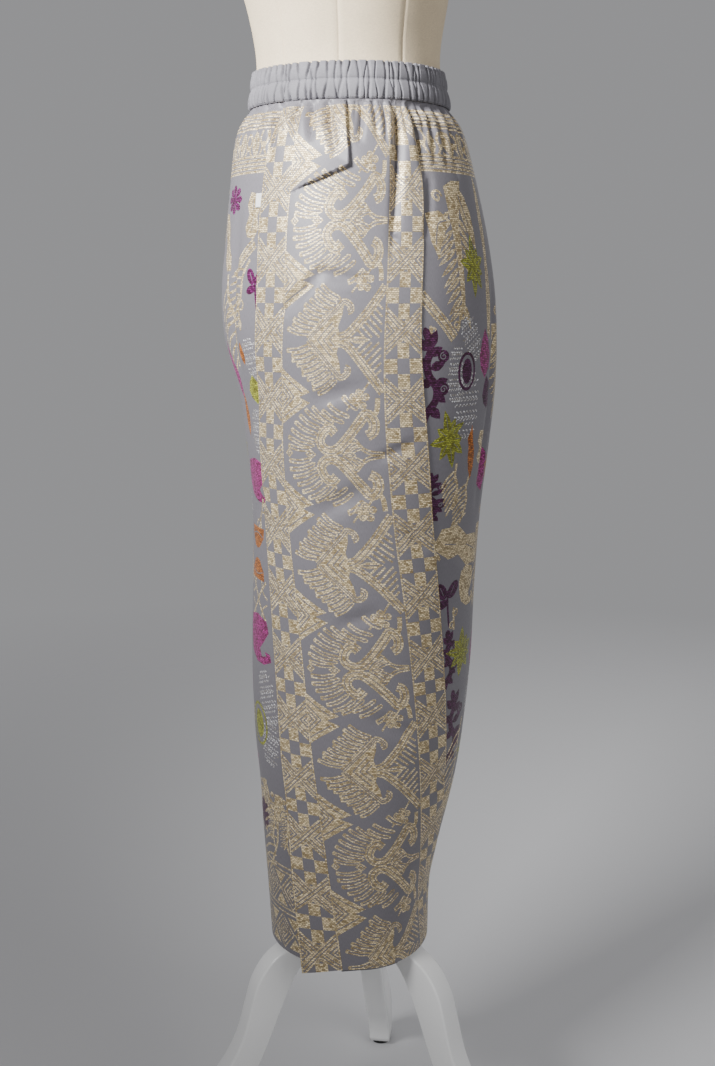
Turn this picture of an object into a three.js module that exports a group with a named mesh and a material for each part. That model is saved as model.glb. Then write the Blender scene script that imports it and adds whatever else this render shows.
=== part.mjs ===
// An ankle-length songket skirt with a gathered elastic waistband, worn on a limbless dress form
// that stands on a pole and three curved wooden legs.
// Millimetres, +Z up. The origin is on the floor, at the centre of the whole thing's footprint.
// Angles run round the stand's axis in degrees: 0 is the near side (-Y), 90 is +X, 180 is the far side.
// The form faces -X, so the near side is the wearer's left.

import * as THREE from 'three';

// Driving dimensions

const BAND_TOP = 1264; // the skirt is 977 mm long from here to its level hem
const BAND_BOTTOM = 1227;
const HEM = 287;
const CORNER_DROP = 12; // the side panel's front corner hangs this much lower
const CLOTH = 1.4; // brocade wall
const SEAM_GAP = 0.35; // between two pieces that are sewn together
const POLE_RADIUS = 16;
const FORM_BOTTOM = 945;
const LEG_THICKNESS = 28;
const FOOT_HEIGHT = 8;

const LAP_DEPTH = CLOTH + SEAM_GAP;

// How far the skirt stands from the axis on its four sides, at each height
const SKIRT_OUTLINE = [
  { z: 275, left: 102, right: 82, near: 99, far: 98 },
  { z: 361, left: 107, right: 85, near: 108, far: 106 },
  { z: 422, left: 111, right: 99, near: 113, far: 111 },
  { z: 482, left: 114, right: 113, near: 118, far: 116 },
  { z: 541, left: 119, right: 122, near: 124, far: 121 },
  { z: 628, left: 121, right: 130, near: 131, far: 128 },
  { z: 714, left: 119, right: 133, near: 138, far: 135 },
  { z: 797, left: 118, right: 138, near: 145, far: 142 },
  { z: 879, left: 124, right: 147, near: 152, far: 150 },
  { z: 933, left: 131, right: 152, near: 156, far: 154 },
  { z: 985, left: 145, right: 153, near: 158, far: 155 },
  { z: 1037, left: 148, right: 150, near: 155, far: 152 },
  { z: 1090, left: 143, right: 142, near: 147, far: 144 },
  { z: 1140, left: 138, right: 131, near: 136, far: 134 },
  { z: 1190, left: 132, right: 118, near: 123, far: 121 },
  { z: 1212, left: 125, right: 109, near: 114, far: 113 },
  { z: 1227, left: 113.5, right: 96.5, near: 101, far: 100.5 },
];

// The two edges of the side panel, which laps over both of its neighbours, as angles at each height
const SIDE_PANEL_EDGES = [
  { z: 275, left: -34, right: 88 },
  { z: 361, left: -38, right: 77 },
  { z: 422, left: -40, right: 67 },
  { z: 482, left: -42, right: 58.5 },
  { z: 541, left: -44, right: 53 },
  { z: 628, left: -46.5, right: 46 },
  { z: 714, left: -51, right: 40.5 },
  { z: 797, left: -55.5, right: 34.5 },
  { z: 879, left: -55, right: 29.2 },
  { z: 933, left: -50.5, right: 26 },
  { z: 985, left: -45.5, right: 24.4 },
  { z: 1037, left: -43, right: 25 },
  { z: 1100, left: -44, right: 27.6 },
  { z: 1150, left: -43, right: 29.4 },
  { z: 1227, left: -40.5, right: 29.8 },
];

// Folds pressed into the cloth, from a start to an end. A gather is deepest at its start, under the
// waistband, and a crease is deepest in its middle.
const FOLDS = [
  { kind: 'gather', angle: -66, z: 1227, toAngle: -68, toZ: 1185, depth: 3, width: 8 },
  { kind: 'gather', angle: -53, z: 1227, toAngle: -55, toZ: 1195, depth: 3, width: 7 },
  { kind: 'gather', angle: -40, z: 1227, toAngle: -43, toZ: 1155, depth: 6, width: 9 },
  { kind: 'gather', angle: -29, z: 1227, toAngle: -31, toZ: 1195, depth: 3, width: 7 },
  { kind: 'gather', angle: -17, z: 1227, toAngle: -9, toZ: 1145, depth: 7, width: 10 },
  { kind: 'gather', angle: -5, z: 1227, toAngle: -3, toZ: 1175, depth: 3, width: 8 },
  { kind: 'gather', angle: 9, z: 1227, toAngle: 9, toZ: 1180, depth: 3, width: 8 },
  { kind: 'gather', angle: 20, z: 1227, toAngle: 23, toZ: 1170, depth: 5, width: 8 },
  { kind: 'gather', angle: 30, z: 1227, toAngle: 32, toZ: 1110, depth: 7, width: 10 },
  { kind: 'gather', angle: 42, z: 1227, toAngle: 43, toZ: 1150, depth: 5, width: 8 },
  { kind: 'gather', angle: 54, z: 1227, toAngle: 54, toZ: 1140, depth: 5, width: 8 },
  { kind: 'gather', angle: 67, z: 1227, toAngle: 66, toZ: 1160, depth: 4, width: 8 },
  { kind: 'crease', angle: -9, z: 1172, toAngle: -34, toZ: 1136, depth: 4, width: 8 },
  { kind: 'crease', angle: -60, z: 1130, toAngle: -66, toZ: 940, depth: 6, width: 15 },
  { kind: 'crease', angle: 74, z: 1060, toAngle: 68, toZ: 800, depth: 8, width: 14 },
  { kind: 'crease', angle: 10, z: 1075, toAngle: -24, toZ: 1052, depth: 2.5, width: 16 },
  { kind: 'crease', angle: 8, z: 845, toAngle: -24, toZ: 812, depth: 2.5, width: 17 },
  { kind: 'crease', angle: 44, z: 780, toAngle: 74, toZ: 730, depth: 3, width: 18 },
];

// The far side has gathers like those of the near side, spaced and sized by the same kind of unevenness
const FAR_GATHERS = { count: 16, from: 81, to: 281, length: 70, depth: 4.5, width: 8 };
for (let i = 0; i < FAR_GATHERS.count; i++) {
  const share = (i + 0.5) / FAR_GATHERS.count;
  const angle = FAR_GATHERS.from + share * (FAR_GATHERS.to - FAR_GATHERS.from) + 2.5 * Math.sin(2.3 * i);
  const uneven = 1 + 0.45 * Math.sin(1.7 * i + 1);
  FOLDS.push({
    kind: 'gather',
    angle,
    z: BAND_BOTTOM,
    toAngle: angle + 2 * Math.sin(3.1 * i),
    toZ: BAND_BOTTOM - FAR_GATHERS.length * uneven,
    depth: FAR_GATHERS.depth * uneven,
    width: FAR_GATHERS.width,
  });
}

// The dress form's outline: front is towards -X, back towards +X, and side is half its width
const FORM_OUTLINE = [
  { z: FORM_BOTTOM, front: 108, back: 112, side: 120 },
  { z: 951, front: 120, back: 125, side: 134 },
  { z: 968, front: 129, back: 134, side: 143 },
  { z: 1000, front: 133, back: 138, side: 146 },
  { z: 1040, front: 135, back: 137, side: 143 },
  { z: 1090, front: 130, back: 130, side: 134 },
  { z: 1140, front: 125, back: 118, side: 122 },
  { z: 1190, front: 117, back: 104, side: 108 },
  { z: 1227, front: 110.5, back: 93.5, side: 98 },
  { z: 1264, front: 107, back: 88, side: 95 },
  { z: 1290, front: 108.5, back: 88, side: 98 },
  { z: 1335, front: 118, back: 95, side: 110 },
  { z: 1395, front: 138, back: 104, side: 128 },
  { z: 1450, front: 148, back: 110, side: 141 },
  { z: 1500, front: 137, back: 114, side: 152 },
  { z: 1550, front: 112, back: 114, side: 166 },
  { z: 1590, front: 92, back: 106, side: 168 },
  { z: 1618, front: 79, back: 92, side: 142 },
  { z: 1640, front: 67, back: 74, side: 92 },
  { z: 1660, front: 60, back: 61, side: 62 },
  { z: 1700, front: 58, back: 54, side: 54 },
];
const ARMHOLE_PLANE = 152; // the form is limbless, and ends flat here on both sides

// Legs: the board's outer and inner edges from the hub to the foot, as [distance, height] pairs
const LEG_OUTER_EDGE = [
  [32.4, 353], [56, 338], [70, 318], [77, 302], [82, 289], [90, 281.5], [100, 277], [110, 270], [120, 259], [131, 240],
  [139, 212], [149, 178],
  [161, 154], [177, 132], [200, 106], [222, 76], [236, 42], [241, FOOT_HEIGHT],
];
const LEG_INNER_EDGE = [
  [32.4, 284], [62, 270], [79, 252], [91, 230], [102, 204], [113, 176], [128, 142], [145, 112], [168, 76],
  [188, 48], [199, 26], [203, FOOT_HEIGHT],
];
const LEGS = [
  { name: 'left', angle: -68.6 },
  { name: 'right', angle: 51.4 },
  { name: 'rear', angle: 171.4 },
];

// Reading the tables

const radians = THREE.MathUtils.degToRad;

// A column of a table at a height, along a smooth curve through its rows
function readAt(table, column, z) {
  const last = table.length - 1;
  let i = 0;
  while (i < last - 1 && table[i + 1].z < z) i++;
  const slope = (a, b) => (table[b][column] - table[a][column]) / (table[b].z - table[a].z);
  const before = slope(Math.max(i - 1, 0), i + 1);
  const after = slope(i, Math.min(i + 2, last));
  const span = table[i + 1].z - table[i].z;
  const t = THREE.MathUtils.clamp((z - table[i].z) / span, 0, 1);
  const rest = 1 - t;
  return (
    table[i][column] * rest * rest * (1 + 2 * t) +
    table[i + 1][column] * t * t * (3 - 2 * t) +
    before * span * t * rest * rest -
    after * span * t * t * rest
  );
}

// How deep the folds press the cloth in, at an angle and a height
function foldDepth(angle, z) {
  let depth = 0;
  const radius = readAt(SKIRT_OUTLINE, 'near', z);
  for (const fold of FOLDS) {
    let turn = angle - fold.angle;
    turn -= 360 * Math.round(turn / 360);
    const across = radians(turn) * radius;
    const run = new THREE.Vector2(radians(fold.toAngle - fold.angle) * radius, fold.toZ - fold.z);
    const point = new THREE.Vector2(across, z - fold.z);
    const share = THREE.MathUtils.clamp(point.dot(run) / run.lengthSq(), 0, 1);
    const away = point.distanceTo(run.clone().multiplyScalar(share));
    if (away > fold.width) continue;
    const bell = 0.5 + 0.5 * Math.cos((Math.PI * away) / fold.width);
    const along = fold.kind === 'gather' ? Math.cos((Math.PI * share) / 2) : Math.sin(Math.PI * share);
    depth += fold.depth * bell * along;
  }
  return depth;
}

// A point on the skirt's cloth, which stands proud of its outline by the given amount. The folds open
// out just below the waistband, where the cloth is stitched down flat.
const FOLDS_OPEN_OVER = 13;

function skirtPoint(angle, z, proud) {
  const open = THREE.MathUtils.smoothstep(BAND_BOTTOM - z, 0, FOLDS_OPEN_OVER);
  const out = proud - foldDepth(angle, z) * open;
  const sine = Math.sin(radians(angle));
  const cosine = Math.cos(radians(angle));
  const along = readAt(SKIRT_OUTLINE, sine < 0 ? 'left' : 'right', z) + out;
  const depth = readAt(SKIRT_OUTLINE, cosine > 0 ? 'near' : 'far', z) + out;
  return new THREE.Vector3(along * sine, -depth * cosine, z);
}

function formPoint(angle, z, proud) {
  const sine = Math.sin(radians(angle));
  const along = (readAt(FORM_OUTLINE, sine < 0 ? 'front' : 'back', z) + proud) * sine;
  const side = -(readAt(FORM_OUTLINE, 'side', z) + proud) * Math.cos(radians(angle));
  return new THREE.Vector3(along, THREE.MathUtils.clamp(side, -ARMHOLE_PLANE, ARMHOLE_PLANE), z);
}

// Walls and lofts

// A closed wall between two surfaces, each a function of the shares across and down. A closed ring
// has no ends, and its inside may have fewer rows than its outside.
function clothWall({ columns, rows, innerRows = rows, outer, inner, ring = false }) {
  const positions = [];
  const indices = [];
  const stride = ring ? columns : columns + 1;
  const sides = [
    { surface: outer, count: rows, start: 0 },
    { surface: inner, count: innerRows, start: stride * (rows + 1) },
  ];
  for (const { surface, count } of sides)
    for (let row = 0; row <= count; row++)
      for (let column = 0; column < stride; column++)
        positions.push(...surface(column / columns, row / count).toArray());
  const at = (side, column, row) => side.start + row * stride + (column % stride);
  const quad = (a, b, c, d) => indices.push(a, b, c, a, c, d);
  const [out, back] = sides;
  for (let column = 0; column < columns; column++) {
    const next = column + 1;
    for (let row = 0; row < rows; row++)
      quad(at(out, column, row + 1), at(out, next, row + 1), at(out, next, row), at(out, column, row));
    for (let row = 0; row < innerRows; row++)
      quad(at(back, next, row), at(back, next, row + 1), at(back, column, row + 1), at(back, column, row));
    quad(at(out, column, 0), at(out, next, 0), at(back, next, 0), at(back, column, 0));
    quad(at(back, column, innerRows), at(back, next, innerRows), at(out, next, rows), at(out, column, rows));
  }
  if (!ring)
    for (let row = 0; row < rows; row++) {
      quad(at(back, 0, row + 1), at(out, 0, row + 1), at(out, 0, row), at(back, 0, row));
      quad(at(out, columns, row + 1), at(back, columns, row + 1), at(back, columns, row), at(out, columns, row));
    }
  return new THREE.BufferGeometry()
    .setAttribute('position', new THREE.Float32BufferAttribute(positions, 3))
    .setIndex(indices);
}

// A solid through rings of points, with flat ends. Seen from the last ring, each ring runs anticlockwise.
function loft(rings) {
  const columns = rings[0].length;
  const last = rings.length - 1;
  const indices = [];
  const at = (ring, column) => ring * columns + (column % columns);
  for (let ring = 0; ring < last; ring++)
    for (let column = 0; column < columns; column++)
      indices.push(
        at(ring, column), at(ring, column + 1), at(ring + 1, column + 1),
        at(ring, column), at(ring + 1, column + 1), at(ring + 1, column),
      );
  const middleOf = (ring) => ring.reduce((sum, point) => sum.add(point), new THREE.Vector3()).divideScalar(columns);
  const points = [...rings.flat(), middleOf(rings[0]), middleOf(rings[last])];
  const firstMiddle = rings.length * columns;
  for (let column = 0; column < columns; column++) {
    indices.push(firstMiddle, at(0, column + 1), at(0, column));
    indices.push(firstMiddle + 1, at(last, column), at(last, column + 1));
  }
  return new THREE.BufferGeometry().setFromPoints(points).setIndex(indices);
}

const mix = THREE.MathUtils.lerp;

// Materials

const finish = (color, roughness, metalness = 0) =>
  new THREE.MeshStandardMaterial({ color, roughness, metalness });
const plainCloth = finish(0xa9a7b4, 0.6);
const brocade = finish(0xb5a88c, 0.45, 0.2);
const labelCloth = finish(0xf2f2f0, 0.8);
const linen = finish(0xd8cdb9, 0.9);
const whitePaint = finish(0xe9e9e9, 0.4);
const blackRubber = finish(0x1c1c1c, 0.9);

function piece(name, geometry, material) {
  geometry.computeVertexNormals();
  const mesh = new THREE.Mesh(geometry, material);
  mesh.name = name;
  return mesh;
}

// Waistband: one casing stitched into two channels, each gathered over its elastic

const BAND = { gathers: 52, columnsPerGather: 3, gap: 0.5, valley: 1.8, thinnest: 1.8 };
const BAND_ROWS = [
  { z: BAND_BOTTOM, puff: 4.4 },
  { z: 1230, puff: 5.8 },
  { z: 1238, puff: 5.2 },
  { z: 1246.5, puff: 2.6 },
  { z: 1251, puff: 4.2 },
  { z: 1258, puff: 4 },
  { z: BAND_TOP, puff: 2.4 },
];
// The gathers crowd and spread a little round the waist, in a few long waves
const CROWDING = [
  { degrees: 1.6, waves: 5 },
  { degrees: 1.1, waves: 3 },
];

function waistband() {
  const rows = BAND_ROWS.length - 1;
  const columns = BAND.gathers * BAND.columnsPerGather;
  const angleOf = (share) =>
    CROWDING.reduce((sum, { degrees, waves }) => sum + degrees * Math.sin(2 * Math.PI * waves * share), 360 * share);
  return piece(
    'waistband',
    clothWall({
      columns,
      rows,
      innerRows: 1,
      ring: true,
      outer: (across, down) => {
        const row = BAND_ROWS[rows - Math.round(down * rows)];
        const inValley = Math.round(across * columns) % BAND.columnsPerGather === 0;
        const puff = Math.max(row.puff - (inValley ? BAND.valley : 0), BAND.thinnest);
        return formPoint(angleOf(across), row.z, BAND.gap + puff);
      },
      inner: (across, down) => formPoint(angleOf(across), mix(BAND_TOP, BAND_BOTTOM, down), BAND.gap),
    }),
    plainCloth,
  );
}

// Skirt panels: cut straight, joined by laps, gathered into the waistband

const PANEL_TOP = BAND_BOTTOM - SEAM_GAP;
const PANEL_ROWS = [
  PANEL_TOP, 1217, 1204, 1190, 1175, 1160, 1143, 1124, 1100, 1070, 1036, 1000, 965, 925, 875, 810, 730, 640,
  540, 440, 350, HEM,
];
const rowHeight = (down) => PANEL_ROWS[Math.round(down * (PANEL_ROWS.length - 1))];
const LAST_ROW_ABOVE_HEM = PANEL_ROWS[PANEL_ROWS.length - 2];
const SIDE_COLUMNS = 30;
const LAP_COLUMNS = 2; // how far a neighbour runs under the side panel's edge, in the side panel's columns

const sidePanelAngle = (across, height) =>
  mix(readAt(SIDE_PANEL_EDGES, 'left', height), readAt(SIDE_PANEL_EDGES, 'right', height), across);

// The side panel's front edge flares off the cloth beneath towards the hem, and its corner hangs lower
const CORNER_SHARE = 0.3;
const FLARE = { below: 620, most: 7, share: 0.21 };

// Where the side panel lies, at a share across it from its front edge
function sidePanelPoint(across, height, proud) {
  const nearHem = Math.max((LAST_ROW_ABOVE_HEM - height) / (LAST_ROW_ABOVE_HEM - HEM), 0);
  const drop = CORNER_DROP * nearHem * Math.max(1 - across / CORNER_SHARE, 0) ** 1.5;
  const lift = FLARE.most * THREE.MathUtils.smoothstep(FLARE.below - height, 0, FLARE.below - HEM);
  const flare = lift * Math.max(1 - across / FLARE.share, 0) ** 1.5;
  const point = skirtPoint(sidePanelAngle(across, height), height, proud + flare);
  point.z -= drop;
  return point;
}

function sidePanel() {
  return piece(
    'side_panel',
    clothWall({
      columns: SIDE_COLUMNS,
      rows: PANEL_ROWS.length - 1,
      outer: (across, down) => sidePanelPoint(across, rowHeight(down), LAP_DEPTH),
      inner: (across, down) => sidePanelPoint(across, rowHeight(down), LAP_DEPTH - CLOTH),
    }),
    brocade,
  );
}

// A neighbour of the side panel runs from the far seam to the side panel's edge and a lap further,
// where its columns lie under the side panel's own
function neighbourPanel(name, columns, edge) {
  const seamSide = edge === 'left' ? -1 : 1;
  const free = columns - LAP_COLUMNS;
  const angleOf = (column, height) => {
    const fromSeam = edge === 'left' ? column : columns - column;
    if (fromSeam >= free) {
      const lapShare = (fromSeam - free) / SIDE_COLUMNS;
      return sidePanelAngle(edge === 'left' ? lapShare : 1 - lapShare, height);
    }
    const halfGap = THREE.MathUtils.radToDeg(SEAM_GAP / 2 / readAt(SKIRT_OUTLINE, 'far', height));
    return mix(seamSide * (180 - halfGap), readAt(SIDE_PANEL_EDGES, edge, height), fromSeam / free);
  };
  const point = (across, down, proud) => {
    const height = rowHeight(down);
    return skirtPoint(angleOf(Math.round(across * columns), height), height, proud);
  };
  return piece(
    name,
    clothWall({
      columns,
      rows: PANEL_ROWS.length - 1,
      outer: (across, down) => point(across, down, 0),
      inner: (across, down) => point(across, down, -CLOTH),
    }),
    brocade,
  );
}

// A plain strip that backs the side panel's hem, along some of its columns, and shows just below it
const FACING = { fromColumn: 6, columns: 11, height: 26, shows: 3, thickness: 1 };

function hemFacing() {
  const backing = LAP_DEPTH - CLOTH - SEAM_GAP;
  const point = (across, down, depth) => {
    const share = (FACING.fromColumn + across * FACING.columns) / SIDE_COLUMNS;
    const z = mix(HEM + FACING.height, HEM - FACING.shows, down);
    const above = sidePanelPoint(share, LAST_ROW_ABOVE_HEM, backing - depth);
    const below = sidePanelPoint(share, HEM, backing - depth);
    return above.lerp(below, (LAST_ROW_ABOVE_HEM - z) / (LAST_ROW_ABOVE_HEM - HEM));
  };
  return piece(
    'hem_facing',
    clothWall({
      columns: FACING.columns,
      rows: 1,
      outer: (across, down) => point(across, down, 0),
      inner: (across, down) => point(across, down, FACING.thickness),
    }),
    plainCloth,
  );
}

// A small blank label caught in the seam at the side panel's front edge
const LABEL = { z: 1129, height: 14, width: 8, thickness: 0.6 };
function sideLabel() {
  const middle = LABEL.z;
  const angleOf = (length) => THREE.MathUtils.radToDeg(length / readAt(SKIRT_OUTLINE, 'near', middle));
  const right = readAt(SIDE_PANEL_EDGES, 'left', middle) - angleOf(SEAM_GAP + 0.2);
  const left = right - angleOf(LABEL.width);
  const point = (across, down, proud) =>
    skirtPoint(mix(left, right, across), mix(middle + LABEL.height / 2, middle - LABEL.height / 2, down), proud);
  return piece(
    'side_label',
    clothWall({
      columns: 2,
      rows: 3,
      outer: (across, down) => point(across, down, SEAM_GAP + LABEL.thickness),
      inner: (across, down) => point(across, down, SEAM_GAP),
    }),
    labelCloth,
  );
}

// Dress form and stand

const FORM_COLUMNS = 40;
const NECK_TOP = FORM_OUTLINE[FORM_OUTLINE.length - 1].z;

function formTorso() {
  const ringAt = ({ z }) =>
    Array.from({ length: FORM_COLUMNS }, (_, column) => formPoint((360 * column) / FORM_COLUMNS, z, 0));
  return piece('form_torso', loft(FORM_OUTLINE.map(ringAt)), linen);
}

// Turns a profile of [radius, height] pairs about the axis
function turned(name, profile, material, sides = 32) {
  const points = profile.map(([radius, z]) => new THREE.Vector2(radius, z));
  return piece(name, new THREE.LatheGeometry(points, sides).rotateX(Math.PI / 2), material);
}

function neckCap() {
  const base = NECK_TOP + SEAM_GAP;
  const profile = [[0, 0], [50, 0], [53, 3], [51, 8], [30, 13], [9, 15], [8, 21], [14, 29], [13, 38], [6, 44], [0, 45]];
  return turned('neck_cap', profile.map(([radius, z]) => [radius, base + z]), whitePaint);
}

const HUB = { radius: 32, bottom: 276, top: 366 };

function pole() {
  const bottom = HUB.top + SEAM_GAP;
  const top = FORM_BOTTOM - SEAM_GAP;
  return turned('form_pole', [[0, bottom], [POLE_RADIUS, bottom], [POLE_RADIUS, top], [0, top]], whitePaint, 24);
}

function hub() {
  const { radius, bottom, top } = HUB;
  const profile = [[0, bottom - 8], [20, bottom - 8], [radius, bottom], [radius, top - 8], [22, top], [0, top]];
  return turned('stand_hub', profile, whitePaint);
}

// A leg is a curved board cut to shape, with eased edges, standing on a rubber foot
const LEG_EASE = 3;
const LEG_STEPS = 20;

function leg({ name, angle }) {
  const alongEdge = (edge) => {
    const curve = new THREE.SplineCurve(edge.map(([distance, z]) => new THREE.Vector2(distance, z)));
    return curve.getSpacedPoints(LEG_STEPS);
  };
  const outer = alongEdge(LEG_OUTER_EDGE);
  const inner = alongEdge(LEG_INNER_EDGE);
  const half = LEG_THICKNESS / 2;
  const rings = outer.map((outerPoint, step) => {
    const eased = LEG_EASE / outerPoint.distanceTo(inner[step]);
    const section = [
      [0, half - LEG_EASE], [eased, half], [1 - eased, half], [1, half - LEG_EASE],
      [1, LEG_EASE - half], [1 - eased, -half], [eased, -half], [0, LEG_EASE - half],
    ];
    return section.map(([share, side]) => {
      const point = outerPoint.clone().lerp(inner[step], share);
      return new THREE.Vector3(point.x, -side, point.y);
    });
  });
  const mesh = piece(`leg_${name}`, loft(rings), whitePaint);
  mesh.rotation.z = radians(angle - 90);
  return mesh;
}

const FOOT = { radius: 13, distance: 222 };

function foot({ name, angle }) {
  const top = FOOT_HEIGHT - SEAM_GAP;
  const mesh = turned(`foot_${name}`, [[0, 0], [FOOT.radius, 0], [FOOT.radius, top], [0, top]], blackRubber, 20);
  mesh.position.set(FOOT.distance * Math.sin(radians(angle)), -FOOT.distance * Math.cos(radians(angle)), 0);
  return mesh;
}

// The whole thing, moved so that its footprint is centred on the origin

const dressedForm = new THREE.Group();
dressedForm.add(
  waistband(),
  sidePanel(),
  neighbourPanel('front_panel', 34, 'left'),
  neighbourPanel('back_panel', 36, 'right'),
  hemFacing(),
  sideLabel(),
  formTorso(),
  neckCap(),
  pole(),
  hub(),
  ...LEGS.map(leg),
  ...LEGS.map(foot),
);
const extent = new THREE.Box3().setFromObject(dressedForm);
const centre = extent.getCenter(new THREE.Vector3());
dressedForm.position.set(-centre.x, -centre.y, 0);

const songketSkirtOnForm = new THREE.Group();
songketSkirtOnForm.add(dressedForm);

export default songketSkirtOnForm;
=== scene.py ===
import math

import bpy
import numpy as np
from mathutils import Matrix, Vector, geometry


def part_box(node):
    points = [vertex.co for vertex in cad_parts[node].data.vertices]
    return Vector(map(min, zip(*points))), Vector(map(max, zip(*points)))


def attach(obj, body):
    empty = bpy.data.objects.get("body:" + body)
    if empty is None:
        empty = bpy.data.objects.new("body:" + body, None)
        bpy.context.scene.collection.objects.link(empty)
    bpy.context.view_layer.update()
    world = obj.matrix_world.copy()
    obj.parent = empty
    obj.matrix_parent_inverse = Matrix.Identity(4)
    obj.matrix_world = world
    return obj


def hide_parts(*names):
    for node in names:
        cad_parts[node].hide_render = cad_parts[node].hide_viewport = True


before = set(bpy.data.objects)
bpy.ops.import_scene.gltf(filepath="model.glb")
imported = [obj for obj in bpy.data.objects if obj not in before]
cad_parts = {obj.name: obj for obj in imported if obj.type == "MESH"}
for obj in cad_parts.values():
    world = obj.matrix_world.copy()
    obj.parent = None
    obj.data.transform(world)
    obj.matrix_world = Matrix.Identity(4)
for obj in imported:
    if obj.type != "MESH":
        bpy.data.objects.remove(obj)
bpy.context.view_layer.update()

# Studio
# A camera at hip height, tilted down to take in the skirt from waist to hem, and a large soft light from
# the upper left. The stand is on a plain pale floor that fades into the room's even grey.
pole_low, pole_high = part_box("form_pole")
AXIS_X = (pole_low.x + pole_high.x) / 2
AXIS_Y = (pole_low.y + pole_high.y) / 2
CAMERA_AWAY = 1.45
CAMERA_HEIGHT = 1.045
CAMERA_TILT = math.radians(10.8)
CAMERA_LENS = 43.9
ROOM_GREY = (0.31, 0.31, 0.3193, 1)

camera = bpy.data.objects.new("camera", bpy.data.cameras.new("camera"))
camera.data.lens = CAMERA_LENS
camera.location = (AXIS_X, AXIS_Y - CAMERA_AWAY, CAMERA_HEIGHT)
camera.rotation_euler = (math.pi / 2 - CAMERA_TILT, 0, 0)
bpy.context.scene.collection.objects.link(camera)
bpy.context.scene.camera = camera

world = bpy.data.worlds.new("studio")
world.use_nodes = True
world.node_tree.nodes["Background"].inputs["Color"].default_value = ROOM_GREY
bpy.context.scene.world = world


def softbox(name, place, aim, size, watts, spread=180):
    """A large square light at one point, turned to face another, both from the stand's axis."""
    light = bpy.data.lights.new(name, "AREA")
    light.size = size
    light.energy = watts
    light.spread = math.radians(spread)
    lamp = bpy.data.objects.new(name, light)
    start = Vector((AXIS_X, AXIS_Y, 0)) + Vector(place)
    lamp.location = start
    end = Vector((AXIS_X, AXIS_Y, 0)) + Vector(aim)
    lamp.rotation_mode = "QUATERNION"
    lamp.rotation_quaternion = (end - start).to_track_quat("-Z", "Y")
    bpy.context.scene.collection.objects.link(lamp)


softbox("key_light", place=(-1.35, -1.4, 2.3), aim=(0, 0, 1.78), size=0.8, watts=44, spread=66)
softbox("fill_light", place=(1.6, -1.9, 1.7), aim=(0, 0, 0.8), size=1.4, watts=14)
softbox("back_light", place=(0.5, 2.4, 2.2), aim=(0, 0, 0.9), size=1.8, watts=4)


def wire(tree, kind, inputs=None, **settings):
    """Adds one node, with its settings, and its inputs set or linked; a short kind is a shader node."""
    family = "" if kind.startswith(("GeometryNode", "FunctionNode", "NodeGroup")) else "ShaderNode"
    made = tree.nodes.new(family + kind)
    for name, value in settings.items():
        setattr(made, name, value)
    for key, value in (inputs or {}).items():
        if isinstance(value, bpy.types.NodeSocket):
            tree.links.new(value, made.inputs[key])
        else:
            made.inputs[key].default_value = value
    return made


def ranged(tree, value, old, new=(0, 1)):
    """Takes a value from one range to another."""
    ends = {"From Min": old[0], "From Max": old[1], "To Min": new[0], "To Max": new[1]}
    return wire(tree, "MapRange", {"Value": value, **ends}).outputs["Result"]


def new_material(name):
    """An empty node material and its finished shader."""
    made = bpy.data.materials.new(name)
    made.use_nodes = True
    return made, made.node_tree, made.node_tree.nodes["Principled BSDF"]


def mesh_piece(name, points, faces, material, smooth=True):
    """A mesh object at the origin, from points in metres."""
    mesh = bpy.data.meshes.new(name)
    mesh.from_pydata([tuple(p) for p in points], [], [tuple(int(i) for i in f) for f in faces])
    mesh.materials.append(material)
    if smooth:
        mesh.polygons.foreach_set("use_smooth", [True] * len(mesh.polygons))
    mesh.update()
    made = bpy.data.objects.new(name, mesh)
    bpy.context.scene.collection.objects.link(made)
    return made


# The floor, and how far from the origin it begins and ends to fade, in metres
FLOOR_RADIUS = 5.0
FLOOR_SIDES = 64
FLOOR_FADES = (0.5, 2.8)
floor_material, tree, shader = new_material("pale_floor")
shader.inputs["Roughness"].default_value = 0.9
shader.inputs["Base Color"].default_value = (0.68, 0.68, 0.69, 1)
place = wire(tree, "TexCoord")
away = wire(tree, "VectorMath", {0: place.outputs["Object"]}, operation="LENGTH")
fade = ranged(tree, away.outputs["Value"], FLOOR_FADES)
clear = wire(tree, "BsdfTransparent")
blend = wire(tree, "MixShader", {0: fade, 1: shader.outputs[0], 2: clear.outputs[0]})
tree.links.new(blend.outputs[0], tree.nodes["Material Output"].inputs["Surface"])
turns = np.linspace(0, math.tau, FLOOR_SIDES, endpoint=False)
rim = [(FLOOR_RADIUS * math.cos(a), FLOOR_RADIUS * math.sin(a), 0) for a in turns]
floor = mesh_piece("floor", rim, [range(FLOOR_SIDES)], floor_material, smooth=False)

# Side panel
# A straight length of gold songket, 205 mm wide: a field of hooked and feathered figures between two
# border strips. It hangs on the wearer's left, gathered into the waistband, and laps over its neighbours.
MM = 0.001
# Heights of the waistband's top and foot, the panels' top and their hem
BAND_TOP = 1264
BAND_BOTTOM = 1227
PANEL_TOP = 1226.6
HEM = 287
# The cloth's thickness, the gap between pieces that meet, and how far the side panel lies over the others
CLOTH = 1.4
JOIN_GAP = 0.35
LAP_DEPTH = CLOTH + JOIN_GAP
SIDE_WIDTH = 205
# The threads' colours; the last number is one for threads that float over the satin
SATIN = (0.172, 0.163, 0.181)
THREADS = {
    "ground": (*SATIN, 0),
    "gold": (0.79, 0.655, 0.42, 1),
    "silver": (0.74, 0.74, 0.78, 1),
    "purple": (0.17, 0.019, 0.135, 1),
    "plum": (0.1, 0.021, 0.084, 1),
    "magenta": (0.42, 0.045, 0.26, 1),
    "lime": (0.39, 0.42, 0.05, 1),
    "orange": (0.54, 0.18, 0.03, 1),
}
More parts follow.
